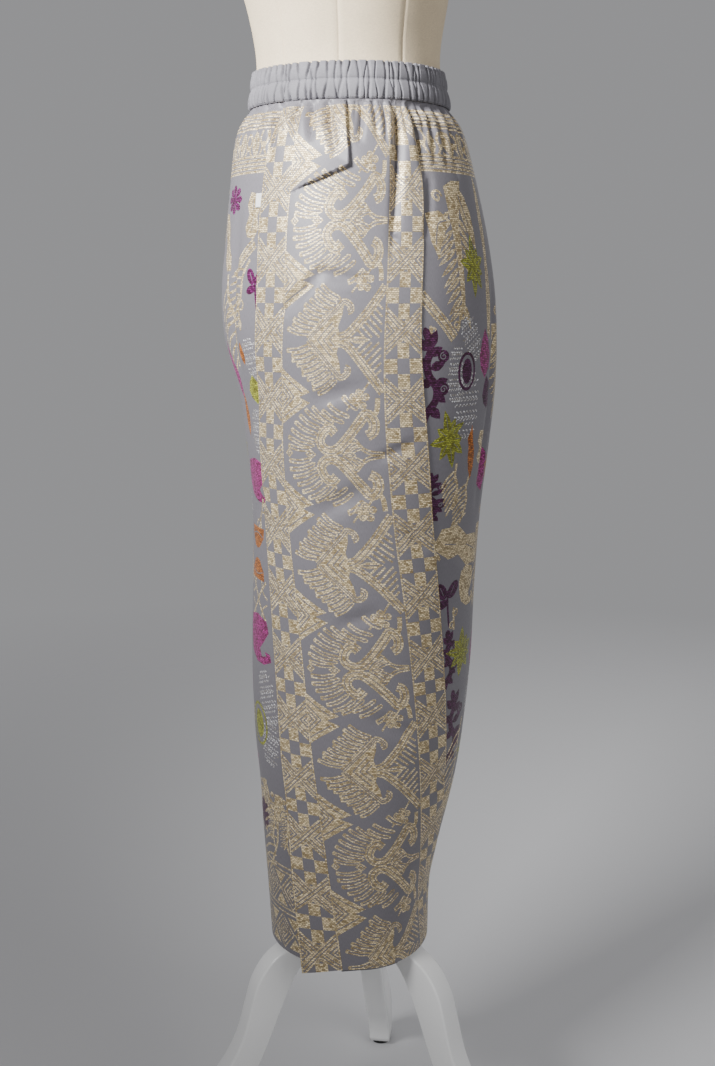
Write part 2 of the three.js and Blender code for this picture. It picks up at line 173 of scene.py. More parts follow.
# How far the skirt stands from the axis: z, left, right, near, far
LEFT, RIGHT, NEAR, FAR = 1, 2, 3, 4
SKIRT_OUTLINE = [
    (275, 102, 82, 99, 98),
    (361, 107, 85, 108, 106),
    (422, 111, 99, 113, 111),
    (482, 114, 113, 118, 116),
    (541, 119, 122, 124, 121),
    (628, 121, 130, 131, 128),
    (714, 119, 133, 138, 135),
    (797, 118, 138, 145, 142),
    (879, 124, 147, 152, 150),
    (933, 131, 152, 156, 154),
    (985, 145, 153, 158, 155),
    (1037, 148, 150, 155, 152),
    (1090, 143, 142, 147, 144),
    (1140, 138, 131, 136, 134),
    (1190, 132, 118, 123, 121),
    (1212, 125, 109, 114, 113),
    (1227, 113.5, 96.5, 101, 100.5),
]
# The side panel's two edges as angles: z, left, right
SIDE_EDGES = [
    (275, -34, 88),
    (361, -38, 77),
    (422, -40, 67),
    (482, -42, 58.5),
    (541, -44, 53),
    (628, -46.5, 46),
    (714, -51, 40.5),
    (797, -55.5, 34.5),
    (879, -55, 29.2),
    (933, -50.5, 26),
    (985, -45.5, 24.4),
    (1037, -43, 25),
    (1100, -44, 27.6),
    (1150, -43, 29.4),
    (1227, -40.5, 29.8),
]
# The dress form under the cloth: z, left (its front), right (its back), half its width
HALF_WIDTH = 3
FORM_OUTLINE = [
    (945, 108, 112, 120),
    (951, 120, 125, 134),
    (968, 129, 134, 143),
    (1000, 133, 138, 146),
    (1040, 135, 137, 143),
    (1090, 130, 130, 134),
    (1140, 125, 118, 122),
    (1190, 117, 104, 108),
    (1227, 110.5, 93.5, 98),
    (1264, 107, 88, 95),
    (1290, 108.5, 88, 98),
    (1335, 118, 95, 110),
    (1395, 138, 104, 128),
    (1450, 148, 110, 141),
    (1500, 137, 114, 152),
    (1550, 112, 114, 166),
    (1590, 92, 106, 168),
    (1618, 79, 92, 142),
    (1640, 67, 74, 92),
    (1660, 60, 61, 62),
    (1700, 58, 54, 54),
]
# Folds pressed into the near side: kind, angle, z, end angle, end z, depth, half width. A gather is
# deepest at its start, under the waistband, and a crease in its middle.
FOLDS = [
    ("gather", -66, 1227, -68, 1178, 5, 8),
    ("gather", -53, 1227, -55, 1186, 5, 7),
    ("gather", -41, 1227, -40, 1165, 10, 8),
    ("gather", -29, 1227, -31, 1190, 5.5, 6),
    ("gather", -22.5, 1227, -20, 1184, 9, 7),
    ("gather", -14.6, 1227, -9, 1172, 9, 7),
    ("gather", 2.2, 1227, 1, 1180, 9, 7),
    ("gather", 9, 1227, 9.5, 1184, 6.5, 6),
    ("gather", 15, 1227, 13.5, 1180, 6.5, 6),
    ("gather", 22.5, 1227, 13, 1068, 12, 11),
    ("gather", 26.5, 1227, 24.5, 1186, 6, 5.5),
    ("gather", 31.5, 1227, 31.5, 1148, 12, 9),
    ("gather", 37.5, 1227, 34.5, 1182, 6, 5.5),
    ("gather", 43.4, 1227, 38, 1160, 8, 7),
    ("gather", 51, 1227, 46, 1158, 7.5, 7),
    ("gather", 60, 1227, 52, 1152, 7.5, 7),
    ("gather", 70, 1227, 66, 1158, 7, 7),
    ("crease", -60, 1130, -66, 940, 6, 15),
    ("crease", 74, 1060, 68, 800, 8, 13),
    ("crease", 35, 1160, 28, 1085, 4, 7),
    ("crease", 4, 1048, -17, 1058, 3, 9),
    ("crease", -12, 1063, -32, 1012, 4, 9),
    ("crease", 8, 845, -24, 812, 4.0, 17),
    ("crease", 44, 780, 74, 730, 3.5, 16),
    ("crease", 26, 892, 4, 868, 2.6, 9),
    ("crease", 20, 800, 33, 770, 2.4, 9),
    ("crease", 38, 905, 58, 880, 3.0, 10),
    ("crease", 5, 948, -22, 930, 3.2, 13),
    ("crease", 12, 712, -12, 694, 3.0, 13),
    ("crease", 30, 560, 2, 600, 3.0, 14),
    ("crease", 40, 480, 66, 520, 2.0, 12),
    ("crease", -50, 830, -70, 800, 2.5, 12),
]
# Gathers on the far side, from just behind the side panel right round to its front
FAR_GATHERS = 16
FAR_START = 81
FAR_SPAN = 200
FAR_GATHER_LENGTH = 70
FAR_GATHER_DEPTH = 4.5
FAR_GATHER_HALF_WIDTH = 8
for i in range(FAR_GATHERS):
    start_angle = FAR_START + FAR_SPAN * (i + 0.5) / FAR_GATHERS + 2.5 * math.sin(2.3 * i)
    uneven = 1 + 0.45 * math.sin(1.7 * i + 1)
    end = (start_angle + 2 * math.sin(3.1 * i), BAND_BOTTOM - FAR_GATHER_LENGTH * uneven)
    depth = FAR_GATHER_DEPTH * uneven
    FOLDS.append(("gather", start_angle, BAND_BOTTOM, *end, depth, FAR_GATHER_HALF_WIDTH))
# Fine puckers, close under the waistband all the way round
PUCKERS = 52
PUCKER_DEPTH = 3.2
PUCKER_HALF_WIDTH = 4.6
for i in range(PUCKERS):
    start_angle = -180 + 360 * (i + 0.35 * math.sin(5.3 * i)) / PUCKERS
    length = 24 + 13 * math.sin(2.9 * i + 0.4)
    end = (start_angle + 1.5 * math.sin(4.1 * i), BAND_BOTTOM - length)
    FOLDS.append(("gather", start_angle, BAND_BOTTOM, *end, PUCKER_DEPTH, PUCKER_HALF_WIDTH))
# Large soft creases on the far side
FAR_CREASES = [
    ("crease", -100, 1080, -112, 930, 4, 14),
    ("crease", 100, 1040, 106, 830, 6, 14),
    ("crease", 150, 1060, 146, 900, 5, 15),
    ("crease", -150, 860, -118, 830, 2.5, 16),
    ("crease", 130, 700, 165, 670, 2.5, 16),
    ("crease", -165, 620, -140, 600, 2, 14),
    ("crease", -95, 560, -122, 580, 2, 14),
]
FOLDS += FAR_CREASES
# How sharp a gather's bottom is, and how fast it fades towards its end
GATHER_SHARPNESS = 1.7
GATHER_FADE = 0.75
# A flap of cloth near the side panel's front edge hangs over itself along a bent line: angle, z. Next are
# how far it rises and fades out, and the step and hollow under it.
FLAP_LINE = [(-6.3, 1240), (-3.3, 1162), (-30, 1134)]
FLAP_RISE = 4.6
FLAP_FADE = 34.0
FLAP_END_FADE = 0.55
FLAP_STEP = 0.8
FLAP_UNDER = 1.6
FLAP_UNDER_FADE = 7


def read_at(rows, column, z):
    """A column of a table at heights z, along a smooth curve through its rows."""
    heights = np.array([row[0] for row in rows], float)
    values = np.array([row[column] for row in rows], float)
    slopes = np.gradient(values)
    slopes[1:-1] = (values[2:] - values[:-2]) / (heights[2:] - heights[:-2])
    slopes[0] = (values[1] - values[0]) / (heights[1] - heights[0])
    slopes[-1] = (values[-1] - values[-2]) / (heights[-1] - heights[-2])
    z = np.clip(z, heights[0], heights[-1])
    i = np.clip(np.searchsorted(heights, z, side="right") - 1, 0, len(heights) - 2)
    span = heights[i + 1] - heights[i]
    t = (z - heights[i]) / span
    rest = 1 - t
    along = values[i] * rest**2 * (1 + 2 * t) + values[i + 1] * t**2 * (3 - 2 * t)
    return along + slopes[i] * span * t * rest**2 - slopes[i + 1] * span * t**2 * rest


def smoothstep(value, low, high):
    """Eases from nought to one as a value goes from low to high."""
    t = np.clip((value - low) / (high - low), 0, 1)
    return t * t * (3 - 2 * t)


def fold_depth(angle, z):
    """How deep the folds press the cloth in, in millimetres."""
    depth = np.zeros_like(angle)
    radius = read_at(SKIRT_OUTLINE, NEAR, z)
    for kind, start_angle, start_z, end_angle, end_z, deepest, half_width in FOLDS:
        turn = angle - start_angle
        turn = turn - 360 * np.round(turn / 360)
        across = np.radians(turn) * radius
        run_across = math.radians(end_angle - start_angle) * radius
        run_up = end_z - start_z
        up = z - start_z
        share = np.clip((across * run_across + up * run_up) / (run_across**2 + run_up**2), 0, 1)
        away = np.hypot(across - share * run_across, up - share * run_up)
        away = np.minimum(away / half_width, 1)
        if kind == "gather":
            depth += deepest * (1 - away) ** GATHER_SHARPNESS * np.cos(np.pi * share / 2) ** GATHER_FADE
        else:
            depth += deepest * (0.5 + 0.5 * np.cos(np.pi * away)) * np.sin(np.pi * share)
    return depth - flap_height(angle, z, radius)


def flap_height(angle, z, radius):
    """How far the flap stands off the cloth, above and ahead of its line, and sinks just below it."""
    top, bend, end = [(np.radians(a) * radius, height) for a, height in FLAP_LINE]
    across = np.radians(angle) * radius
    ahead_of_line = top[0] + (bend[0] - top[0]) * (z - top[1]) / (bend[1] - top[1]) - across
    line_length = np.hypot(end[0] - bend[0], end[1] - bend[1])
    along_x, along_z = (end[0] - bend[0]) / line_length, (end[1] - bend[1]) / line_length
    above_line = (z - bend[1]) * -along_x + (across - bend[0]) * along_z
    inside = np.minimum(ahead_of_line, above_line)
    down_line = ((across - bend[0]) * along_x + (z - bend[1]) * along_z) / line_length
    fades = smoothstep(1 - down_line, 0, FLAP_END_FADE)
    on_flap = smoothstep(inside, -FLAP_STEP, 0)
    raised = FLAP_RISE * (1 - np.clip(inside / FLAP_FADE, 0, 1)) ** 2 * on_flap
    below = np.maximum(-inside - FLAP_STEP, 0)
    sunk = FLAP_UNDER * np.exp(-below / FLAP_UNDER_FADE) * (1 - on_flap)
    return fades * (raised - sunk)


# Folds open below the waistband's foot over this height, and the cloth keeps this far off the form
FOLDS_OPEN_OVER = 5
FORM_CLEARANCE = 1.9


def on_axis(along, across, z):
    """Points from millimetres off the stand's axis to metres in the part's frame."""
    return np.stack([along * MM + AXIS_X, across * MM + AXIS_Y, z * MM], axis=-1)


def skirt_point(angle, z, proud):
    """Points on the skirt's cloth, standing proud of its outline, and never inside the form."""
    fold = fold_depth(angle, z) * smoothstep(BAND_BOTTOM - z, 0, FOLDS_OPEN_OVER)
    sine, cosine = np.sin(np.radians(angle)), np.cos(np.radians(angle))
    along = np.where(sine < 0, read_at(SKIRT_OUTLINE, LEFT, z), read_at(SKIRT_OUTLINE, RIGHT, z)) - fold
    depth = np.where(cosine > 0, read_at(SKIRT_OUTLINE, NEAR, z), read_at(SKIRT_OUTLINE, FAR, z)) - fold
    form_along = np.where(sine < 0, read_at(FORM_OUTLINE, LEFT, z), read_at(FORM_OUTLINE, RIGHT, z))
    over_form = z > FORM_OUTLINE[0][0]
    along = np.where(over_form, np.maximum(along, form_along + FORM_CLEARANCE), along)
    form_side = read_at(FORM_OUTLINE, HALF_WIDTH, z)
    depth = np.where(over_form, np.maximum(depth, form_side + FORM_CLEARANCE), depth)
    return on_axis((along + proud) * sine, -(depth + proud) * cosine, z)


# The side panel's front lower corner hangs lower than its hem, and its front edge stands off below
CORNER_FROM = 350
CORNER_DROP = 12
CORNER_SHARE = 0.3
FLARE_BELOW = 620
FLARE = 7
FLARE_SHARE = 0.21


def side_edges(height):
    """The side panel's two edges as angles."""
    return read_at(SIDE_EDGES, LEFT, height), read_at(SIDE_EDGES, RIGHT, height)


def side_point(across, height, proud):
    """Points on the side panel, at a share across from its front edge, which flares off towards the hem."""
    left, right = side_edges(height)
    near_hem = np.maximum((CORNER_FROM - height) / (CORNER_FROM - HEM), 0)
    drop = CORNER_DROP * near_hem * np.maximum(1 - across / CORNER_SHARE, 0) ** 1.5
    lift = FLARE * smoothstep(FLARE_BELOW - height, 0, FLARE_BELOW - HEM)
    flare = lift * np.maximum(1 - across / FLARE_SHARE, 0) ** 1.5
    points = skirt_point(left + (right - left) * across, height, proud + flare)
    points[..., 2] -= drop * MM
    return points


class Chart:
    """A flat plan of a panel in millimetres, across and up, with woven shapes painted over one another."""

    def __init__(self, outline):
        self.shapes = [(outline, "ground")]

    def fill(self, points, thread="gold"):
        """A closed shape woven in one thread."""
        self.shapes.append((points, thread))

    def stroke(self, path, width, thread="gold", soft=True, pointed=False):
        """A line of even width through the path's points, rounded at its bends if soft."""
        points = np.array(curved(path) if soft and len(path) > 2 else path, float)
        ahead = np.gradient(points, axis=0)
        ahead /= np.maximum(np.linalg.norm(ahead, axis=1, keepdims=True), 1e-9)
        side = np.stack([-ahead[:, 1], ahead[:, 0]], axis=1) * width / 2
        if pointed:
            side[0] *= 0.45
            side[-1] *= 0.3
        self.fill([*(points + side), *(points - side)[::-1]], thread)

    def band(self, path, width, thread="gold", line=1.1, gap=0.8):
        """A broad woven line between two thin ones."""
        self.stroke(path, width, thread)
        self.stroke(path, width - 2 * line, "ground")
        self.stroke(path, width - 2 * line - 2 * gap, thread)


def curved(path, steps=4):
    """A smooth curve through a path's points."""
    p = np.array([path[0], *path, path[-1]], float)
    t = np.arange(steps)[:, None] / steps
    out = []
    for a, b, c, d in zip(p, p[1:], p[2:], p[3:]):
        square, cube = (2 * a - 5 * b + 4 * c - d) * t**2, (3 * b - a - 3 * c + d) * t**3
        out.append(0.5 * (2 * b + (c - a) * t + square + cube))
    return [*np.concatenate(out), p[-1]]


# Edges on a chart are cut no longer than this, and points this close are one
LONGEST_CUT = 5.0
MERGED_WITHIN = 0.001


def thread_of(points, shapes):
    """Which of a chart's shapes is uppermost at each point: the last one that winds around it."""
    order = np.argsort(points[:, 0])
    x, y = points[order].T
    top = np.zeros(len(points), int)
    for number, (corners, _) in enumerate(shapes):
        a = np.array(corners, float)
        b = np.roll(a, -1, axis=0)
        first, last = np.searchsorted(x, (a[:, 0].min(), a[:, 0].max()))
        near = first + np.flatnonzero((y[first:last] > a[:, 1].min()) & (y[first:last] < a[:, 1].max()))
        px, py = x[near, None], y[near, None]
        left_of = (b[:, 0] - a[:, 0]) * (py - a[:, 1]) - (px - a[:, 0]) * (b[:, 1] - a[:, 1])
        rising = (a[:, 1] <= py) & (b[:, 1] > py) & (left_of > 0)
        falling = (a[:, 1] > py) & (b[:, 1] <= py) & (left_of < 0)
        top[near[(rising.sum(axis=1) - falling.sum(axis=1)) != 0]] = number
    found = np.zeros(len(points), int)
    found[order] = top
    return found


def cut_chart(chart, grids, cuts):
    """A chart as triangles along its shapes' edges: points, faces, each face's colour, the rim's edges."""
    corners, lines = [], []
    for points, _ in chart.shapes:
        loop = []
        for a, b in zip(np.array(points, float), np.roll(np.array(points, float), -1, axis=0)):
            pieces = math.ceil(math.dist(a, b) / LONGEST_CUT)
            loop += [Vector(a + (b - a) * i / pieces) for i in range(pieces)]
        start, count = len(corners), len(loop)
        corners += loop
        lines += [(start + i, start + (i + 1) % count) for i in range(count)]
    for cut in cuts:
        lines += [(len(corners) + i, len(corners) + i + 1) for i in range(len(cut) - 1)]
        corners += [Vector(p) for p in cut]
    for low, high, spacing in grids:
        for x in np.arange(low[0], high[0], spacing):
            corners += [Vector((x, y)) for y in np.arange(low[1], high[1], spacing)]
    cut, _, triangles, _, _, _ = geometry.delaunay_2d_cdt(corners, lines, [], 0, MERGED_WITHIN)
    flat = np.array([(p.x, p.y) for p in cut])
    faces = np.array([list(face) for face in triangles])
    middles = flat[faces].mean(axis=1)
    nowhere = ([(0, 0)] * 3, "")
    inside = thread_of(middles, [nowhere, chart.shapes[0]]) == 1
    faces, middles = faces[inside], middles[inside]
    colours = [THREADS[chart.shapes[top][1]] for top in thread_of(middles, chart.shapes)]
    used, faces = np.unique(faces, return_inverse=True)
    flat, faces = flat[used], faces.reshape(-1, 3)
    directed = np.concatenate([faces[:, [0, 1]], faces[:, [1, 2]], faces[:, [2, 0]]])
    _, first, times = np.unique(np.sort(directed, axis=1), axis=0, return_index=True, return_counts=True)
    return flat, faces, colours, directed[first[times == 1]]


def weave_panel(name, chart, place, material, grids, cuts):
    """Lays a chart on the body as cloth with two sides, each face in its thread's colour."""
    flat, faces, colours, rims = cut_chart(chart, grids, cuts)
    count = len(flat)
    hem_strip = np.stack([rims[:, 1], rims[:, 0], rims[:, 0] + count, rims[:, 1] + count], axis=1)
    points = np.concatenate([place(flat, 0), place(flat, -CLOTH)])
    all_faces = [*faces, *(faces[:, ::-1] + count), *hem_strip]
    panel = mesh_piece(name, points, all_faces, material)
    mesh = panel.data
    colours = np.array([*colours, *colours, *[THREADS["ground"]] * len(hem_strip)])
    corners_of_faces = [3] * (2 * len(faces)) + [4] * len(hem_strip)
    corner_colours = np.repeat(colours, corners_of_faces, axis=0)
    colour = mesh.color_attributes.new("float_colour", "FLOAT_COLOR", "CORNER")
    colour.data.foreach_set("color", corner_colours.astype(np.float32).ravel())
    cloth_uv = mesh.uv_layers.new(name="UVMap")
    vertex_of_corner = np.zeros(len(mesh.loops), np.int32)
    mesh.loops.foreach_get("vertex_index", vertex_of_corner)
    chart_places = np.concatenate([flat, flat])[vertex_of_corner] * MM
    cloth_uv.data.foreach_set("uv", chart_places.astype(np.float32).ravel())
    # the rim's edges on both sides are shaded sharp
    ends = np.zeros(2 * len(mesh.edges), np.int32)
    mesh.edges.foreach_get("vertices", ends)
    a, b = np.sort(ends.reshape(-1, 2)).T
    rim_keys = np.sort(rims, axis=1) @ (count, 1)
    sharp = np.isin(a % count * count + b % count, rim_keys) & (a // count == b // count)
    mesh.attributes.new("sharp_edge", "BOOLEAN", "EDGE").data.foreach_set("value", sharp.tolist())
    return panel


def songket(name):
    """Satin with floats of thread: staggered short dashes over a fine warp, with painted glint on the dashes
    and painted shade in the gaps between them.
    """
    material, tree, shader = new_material(name)
    uv = wire(tree, "UVMap", uv_map="UVMap")
    mm = wire(tree, "VectorMath", {0: uv.outputs[0], "Scale": 1 / MM}, operation="SCALE")
    waver = wire(tree, "TexNoise", {"Vector": mm.outputs[0], "Scale": 0.3, "Detail": 1.0})
    shift = wire(tree, "VectorMath", {0: waver.outputs["Color"], 1: (0.5, 0.5, 0.5)}, operation="SUBTRACT")
    pushed = wire(tree, "VectorMath", {0: shift.outputs[0], "Scale": 1.4}, operation="SCALE")
    laid = wire(tree, "VectorMath", {0: mm.outputs[0], 1: pushed.outputs[0]}, operation="ADD")
    # The dashes' bright and dim tones are painted glint on the floats, and the dark mortar round them is
    # painted shade in the gaps
    float_glint_and_gap_shade = {
        "Vector": laid.outputs[0],
        "Color1": (1.4, 1.4, 1.38, 1),
        "Color2": (0.42, 0.38, 0.3, 1),
        "Mortar": (0.17, 0.14, 0.1, 1),
        "Scale": 1.0,
        "Mortar Size": 0.32,
        "Mortar Smooth": 0.6,
        "Brick Width": 3.3,
        "Row Height": 1.85,
    }
    dashes_painted_glint_and_shade = wire(tree, "TexBrick", float_glint_and_gap_shade, offset=0.5)
    thread = wire(tree, "VertexColor", layer_name="float_colour")
    # The thread's colour times the dashes: the gold carries the painted glint and the painted shade between
    # floats
    both = {0: 1.0, 6: thread.outputs["Color"], 7: dashes_painted_glint_and_shade.outputs["Color"]}
    thread_with_painted_glint = wire(tree, "Mix", both, data_type="RGBA", blend_type="MULTIPLY")
    warp_scale = wire(tree, "VectorMath", {0: mm.outputs[0], 1: (3.2, 0.25, 1)}, operation="MULTIPLY")
    warp = wire(tree, "TexNoise", {"Vector": warp_scale.outputs[0], "Scale": 1.0, "Detail": 2.0})
    satin = ranged(tree, warp.outputs[0], (0.3, 0.7), (0.84, 1.14))
    ground = wire(tree, "VectorMath", {0: SATIN, 1: satin}, operation="MULTIPLY")
    choose = {0: thread.outputs["Alpha"], 6: ground.outputs[0], 7: thread_with_painted_glint.outputs[2]}
    colour = wire(tree, "Mix", choose, data_type="RGBA")
    tree.links.new(colour.outputs[2], shader.inputs["Base Color"])
    rough = ranged(tree, thread.outputs["Alpha"], (0, 1), (0.43, 0.4))
    tree.links.new(rough, shader.inputs["Roughness"])
    shine = wire(tree, "Math", {0: thread.outputs["Alpha"], 1: 0.25}, operation="MULTIPLY")
    tree.links.new(shine.outputs[0], shader.inputs["Metallic"])
    raised = wire(tree, "Math", {0: thread.outputs["Alpha"], 1: dashes_painted_glint_and_shade.outputs["Fac"]}, operation="MULTIPLY")
    relief = wire(tree, "Math", {0: thread.outputs["Alpha"], 1: raised.outputs[0]}, operation="SUBTRACT")
    height = {0: warp.outputs[0], 1: 0.25, 2: relief.outputs[0]}
    threads = wire(tree, "Math", height, operation="MULTIPLY_ADD")
    bump = wire(tree, "Bump", {"Height": threads.outputs[0], "Strength": 0.6, "Distance": 0.0004})
    tree.links.new(bump.outputs[0], shader.inputs["Normal"])
    shader.inputs["Specular IOR Level"].default_value = 0.35
    shader.inputs["Sheen Weight"].default_value = 0.08
    shader.inputs["Sheen Roughness"].default_value = 0.4
    return material


songket_cloth = songket("songket")

# A border strip's width and its edge line's, and heights past both of its ends
STRIP = 43
STRIP_LINE = 1.7
CHART_FOOT, CHART_TOP = 250, 1240
# The crossings: the first one's height, how far apart, how many and their slope, then their lines' widths
FIRST_CROSSING = 1208
CROSSING_STEP = 69.2
CROSSINGS = 15
ARM_SLOPE = 0.92
ARM_LINE = 2.1
ARM_LINE_STEP = 4.6
ARM_GROUND = 9.4
NEST_LINE = 2.2
# The checks between two crossings: half across, half up, and how far each is from their middle
CHECK_HALF = (6.5, 7.5)
CHECK_PLACES = ((-13.4, 0), (13.4, 0), (0, 15.4), (0, -15.4))
CHEVRON_RISE = 26.5


def slab(left, low, right, high):
    """The corners of an upright rectangle."""
    return [(left, low), (right, low), (right, high), (left, high)]


def polar(reach, degrees):
    """Across and up for a reach and a turn."""
    return reach * math.cos(math.radians(degrees)), reach * math.sin(math.radians(degrees))


def oval(middle, half_long, half_wide, turn=0.0, count=12):
    """Points round an oval, in degrees of turn."""
    c, s = math.cos(math.radians(turn)), math.sin(math.radians(turn))
    around = np.linspace(0, math.tau, count + 1)[:-1]
    x, y = half_long * np.cos(around), half_wide * np.sin(around)
    return [(middle[0] + c * a - s * b, middle[1] + s * a + c * b) for a, b in zip(x, y)]


def border_strip(chart, left):
    """A strip of crossings in triple lines, with a checkered cross between each two, edged in gold."""
    middle = left + STRIP / 2
    half = STRIP / 2 - NEST_LINE
    for k in range(-1, CROSSINGS):
        z = FIRST_CROSSING - CROSSING_STEP * k
        for side in (-1, 1):
            for nest in range(3):
                tip = 8.4 + 5.0 * nest
                rise = (half - tip) * ARM_SLOPE
                edge = middle + side * half
                nest_line = [(edge, z + rise), (middle + side * tip, z), (edge, z - rise)]
                chart.stroke(nest_line, NEST_LINE, soft=False)
        for slope in (-ARM_SLOPE, ARM_SLOPE):
            ends = ((middle - half, z - half * slope), (middle + half, z + half * slope))
            chart.stroke(ends, ARM_GROUND, "ground")
            for shift in (-ARM_LINE_STEP, 0, ARM_LINE_STEP):
                chart.stroke([(x, y + shift) for x, y in ends], ARM_LINE)
        crux = z - CROSSING_STEP / 2
        wide, tall = CHECK_HALF
        for across, up in CHECK_PLACES:
            x, y = middle + across, crux + up
            chart.fill(slab(x - wide, y - tall, x + wide, y + tall))
        for up in (-CHEVRON_RISE, CHEVRON_RISE):
            peak, foot = crux + up, crux + up - up * 0.14
            chart.stroke([(middle - 5, foot), (middle, peak), (middle + 5, foot)], 1.8, soft=False)
    for x in (left + 0.9, left + STRIP - 0.9):
        chart.stroke([(x, CHART_TOP), (x, CHART_FOOT)], STRIP_LINE)


# The field between the strips: where its first two figures meet, each figure's height and how many
FIELD_LEFT = STRIP
FIRST_JUNCTION = 1165
HALF_REPEAT = 115.3
FIGURES_UP_THE_FIELD = 9
COMB_TEETH = 8
FAN_BARBS = 10


def placed(middle, flip):
    """Turns a figure's own sizes, across the field and up from its middle, into places on the chart."""
    return lambda points: [(FIELD_LEFT + across, middle + flip * up) for across, up in points]


def feather(chart, root, tip, width=5.0):
    """One long barb of a fan, bowed a little and slit along its middle."""
    root, tip = np.array(root, float), np.array(tip, float)
    run = tip - root
    side = np.array([-run[1], run[0]]) * 0.07
    bow = root + run * 0.5 + side
    chart.stroke([root, bow, root + run * 0.85 + side * 0.5, tip], width, pointed=True)
    slit = [root + run * 0.06 + side * 0.3, bow, root + run * 0.9 + side * 0.35]
    chart.stroke(slit, width * 0.33, "ground")


def hooked_figure(chart, middle, flip):
    """Half of the figure of two round hooks, with its fan of barbs."""
    at = placed(middle, flip)
    hook = [(66, 22), (60, 27), (52, 22), (49, 12), (56, 5), (66, 5), (76, 13), (86, 24), (94, 34), (101, 42)]
    hook += [(108, 34), (107, 24), (101, 20)]
    chart.band(at(hook), 10.6, line=2.3, gap=1.0)
    for lift in (0, 3.4):
        peak = [(79, 7.5 - lift), (88, 17 - lift), (96, 8.5 - lift), (104, 4.2 - lift)]
        valley = [(67, 1.6), *peak, (117, 2.4 - lift)]
        chart.stroke(at([(x, max(y, 0.5)) for x, y in valley]), 1.7)
    chart.stroke(at([(108, 40), (111.5, 46), (112.5, 58)]), 5.0)
    fan = [
        ((37, 5), (8, 8)),
        ((42, 9), (8, 17)),
        ((45, 14), (12, 25)),
        ((45, 21), (17, 33)),
        ((49, 27), (23, 40)),
        ((56, 32), (30, 46)),
        ((65, 32), (39, 49)),
        ((77, 33), (51, 46)),
        ((83, 39), (58, 52)),
    ]
    for root, tip in fan:
        feather(chart, *at([root, tip]))
    feather(chart, *at([(93, 47), (75, 60)]), width=6.0)
    for root, tip in (((76, 2.5), (92, 12)), ((83, 2.2), (97, 8)), ((74, 1.4), (86, 12.5))):
        feather(chart, *at([root, tip]), width=4.2)
    leaves = [(4, 14), (30, 44), (74, 90)]
    for start, end in leaves:
        wide = (end - start) / 2
        chart.fill(at([(start, 0), (start + wide, 5.2), (end, 0)]))
        chart.stroke(at([(start + 3, 0.1), (start + wide, 2.4), (end - 3, 0.1)]), 1.0, "ground", soft=False)


def arrow_figure(chart, middle, flip):
    """Half of the figure of an arrowhead with a small hook, a rising arm and a comb."""
    at = placed(middle, flip)
    body = [(36, 0), (50, 13.5), (66, 28), (72, 33), (71, 24), (67, 13), (69, 6), (75, 3), (75, 0)]
    chart.fill(at(body))
    for near, far in ((44, 17), (51, 12), (58, 7)):
        chart.stroke(at([(near, 0), (near + far, far)]), 1.2, "ground", soft=False)
    neck = [(33, 0), (50, 16), (66, 31), (72, 37), (79, 34), (81, 29), (77, 27)]
    chart.band(at(neck), 6.6, line=1.8, gap=1.0)
    chart.band(at([(69, 2.2), (77, 4.6), (86, 12.5), (100, 28), (118, 52)]), 9.6, line=2.1, gap=1.0)
    for k in range(COMB_TEETH):
        start = np.array((89.5 + 3.6 * k, 9.5 + 4.1 * k))
        length = min((start[1] - 2.5) / 0.9, 116 - start[0])
        if length > 2:
            chart.stroke(at([start, start + (length, -0.9 * length)]), 2.2)
    chart.fill(at([(79, 0), (88, 3.6), (97, 3.2), (104, 0)]))
    chart.stroke(at([(84, 0.2), (99, 0.2)]), 0.8, "ground")
    for k in range(FAN_BARBS):
        share = k / (FAN_BARBS - 1)
        sway = 2.2 * math.sin(2.1 * k)
        feather(chart, *at([(35 + 33 * share, 5.5 + 34 * share), (6 + 39 * share + sway, 11 + 43 * share)]))


def junction_figure(chart, middle):
    """Where two figures meet: a double arrowhead on the strip's line, and a flower at the other side."""
    for flip in (-1, 1):
        at = placed(middle, flip)
        chart.fill(at([(0, 0), (0, 28.5), (12, 20), (36, 5.5), (22, 0)]))
        chart.stroke(at([(0, 22), (11, 14.5), (26, 5.2)]), 1.3, "ground", soft=False)
        for nest in (5, 10, 15):
            chart.stroke(at([(0, nest), (nest, 0)]), 1.4, "ground", soft=False)
    at = placed(middle, 1)
    chart.stroke(at([(104, 16), (99, 9), (95, 3), (86, -5), (80, -12)]), 2.0)
    flower_middle = (94, -1)
    for turn, reach in ((20, 7), (95, 6.5), (165, 7.5), (235, 6.5), (300, 7)):
        lobe = np.array(flower_middle) + polar(reach, turn)
        chart.fill(at(oval(lobe, 4.1, 4.1, count=8)))
        curl = [lobe + 1.9 * np.array((math.cos(a), math.sin(a))) for a in np.linspace(0.4, 4.6, 6)]
        chart.stroke(at(curl), 0.8, "ground")
    chart.fill(at(oval(flower_middle, 3, 3, count=8)))


side_chart = Chart(slab(0, HEM, SIDE_WIDTH, PANEL_TOP))
for k in range(FIGURES_UP_THE_FIELD):
    middle_of_figure = FIRST_JUNCTION + HALF_REPEAT / 2 - HALF_REPEAT * k
    for flip in (-1, 1):
        if k % 2:
            hooked_figure(side_chart, middle_of_figure, flip)
        else:
            arrow_figure(side_chart, middle_of_figure, flip)
    junction_figure(side_chart, middle_of_figure - HALF_REPEAT / 2)
junction_figure(side_chart, FIRST_JUNCTION + HALF_REPEAT)
for strip_left in (0, SIDE_WIDTH - STRIP):
    side_chart.fill(slab(strip_left, CHART_FOOT, strip_left + STRIP, CHART_TOP), "ground")
    border_strip(side_chart, strip_left)
# The cloth is plain above this height
PLAIN_TOP = 1220.5
side_chart.fill(slab(-1, PLAIN_TOP, SIDE_WIDTH + 1, CHART_TOP), "ground")
